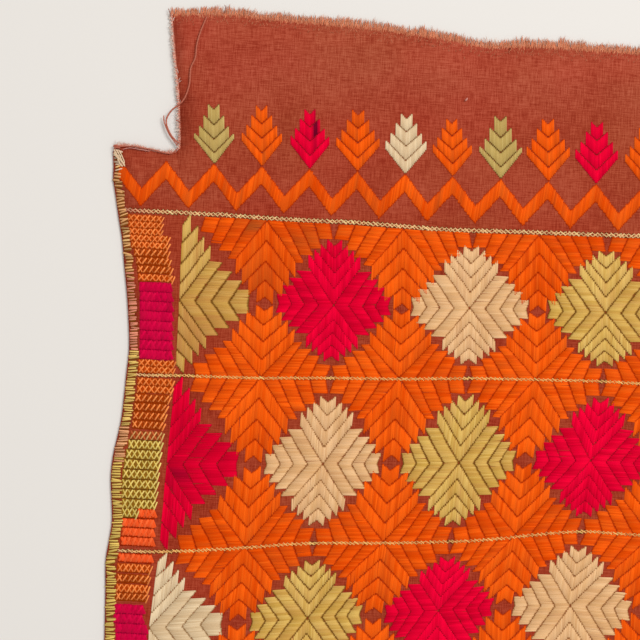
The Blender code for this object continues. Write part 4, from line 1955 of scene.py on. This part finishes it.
@dataclass
class Studio:
    """A pale floor, soft light and the camera over the torn corner."""

    turn: float = math.radians(3.0)
    lens: float = 85.0
    sensor: float = 36.0
    frame_width: float = 0.448
    centre: tuple[float, float] = (0.1569, 0.2126)
    floor_half: float = 30.0
    floor_drop: float = -0.0003
    floor_shade: Shade = (0.80, 0.765, 0.725)
    key_at: Shade = (1.6, 2.6, 3.0)
    key_aim: Shade = (-0.2, 0.6, 0.0)
    key_size: float = 1.6
    key_power: float = 95.0
    sky_shade: Shade = (1.0, 0.99, 0.97)
    sky_power: float = 0.62

    def camera(self) -> None:
        """Looks straight down, turned a little so that the shawl lies askew."""
        data = bpy.data.cameras.new("camera")
        data.lens = self.lens
        data.sensor_width = self.sensor
        item = into_scene("camera", data)
        flat = CHART.world(np.array([self.centre]))[0]
        item.location = (flat[0], flat[1], self.frame_width * self.lens / self.sensor)
        item.rotation_euler = (0.0, 0.0, self.turn)
        bpy.context.scene.camera = item

    def floor(self) -> None:
        """A wide pale floor just under the cloth."""
        mesh = bpy.data.meshes.new("floor")
        corners = [(across * self.floor_half, along * self.floor_half, self.floor_drop)
                   for across, along in ((-1, -1), (1, -1), (1, 1), (-1, 1))]
        mesh.from_pydata(corners, [], [(0, 1, 2, 3)])
        paper = NodePaper("pale floor")
        paper.set(Base_Color=colour(*self.floor_shade), Roughness=0.9, Specular_IOR_Level=0.1)
        mesh.materials.append(paper.material)
        into_scene("floor", mesh)

    def key_light(self) -> None:
        """A soft square light that faces the shawl."""
        data = bpy.data.lights.new("key", "AREA")
        data.shape = "SQUARE"
        data.size = self.key_size
        data.energy = self.key_power
        item = into_scene("key", data)
        item.location = self.key_at
        way = Vector(self.key_aim) - Vector(self.key_at)
        item.rotation_euler = way.to_track_quat("-Z", "Y").to_euler()

    def build(self) -> None:
        """Sets the stage."""
        scene = bpy.context.scene
        scene.view_settings.view_transform = "Standard"
        world = scene.world or bpy.data.worlds.new("world")
        scene.world = world
        world.use_nodes = True
        back = world.node_tree.nodes["Background"]
        back.inputs["Color"].default_value = colour(*self.sky_shade)
        back.inputs["Strength"].default_value = self.sky_power
        self.key_light()
        self.camera()
        self.floor()


def main() -> None:
    """Builds the shawl piece by piece."""
    logging.basicConfig(level=logging.INFO, format="%(name)s: %(message)s")
    Studio().build()
    work = Workroom()
    sheets = KhaddarWidths().build(work)
    darned = DarnedField().build(work)
    bands = EndBand().build(work)
    lines = HerringboneLines().build(work)
    borders = SideBorders().build(work)
    edges = OvercastEdges().build(work)
    frays = RawEdges().build(work)
    loose = LooseThreads().build(work)
    work.put_away()
    wide, long = CHART.width, CHART.length
    LOG.info("shawl of %.3f by %.3f m, %d pieces", wide, long, len(work.made))


if __name__ == "__main__":
    main()
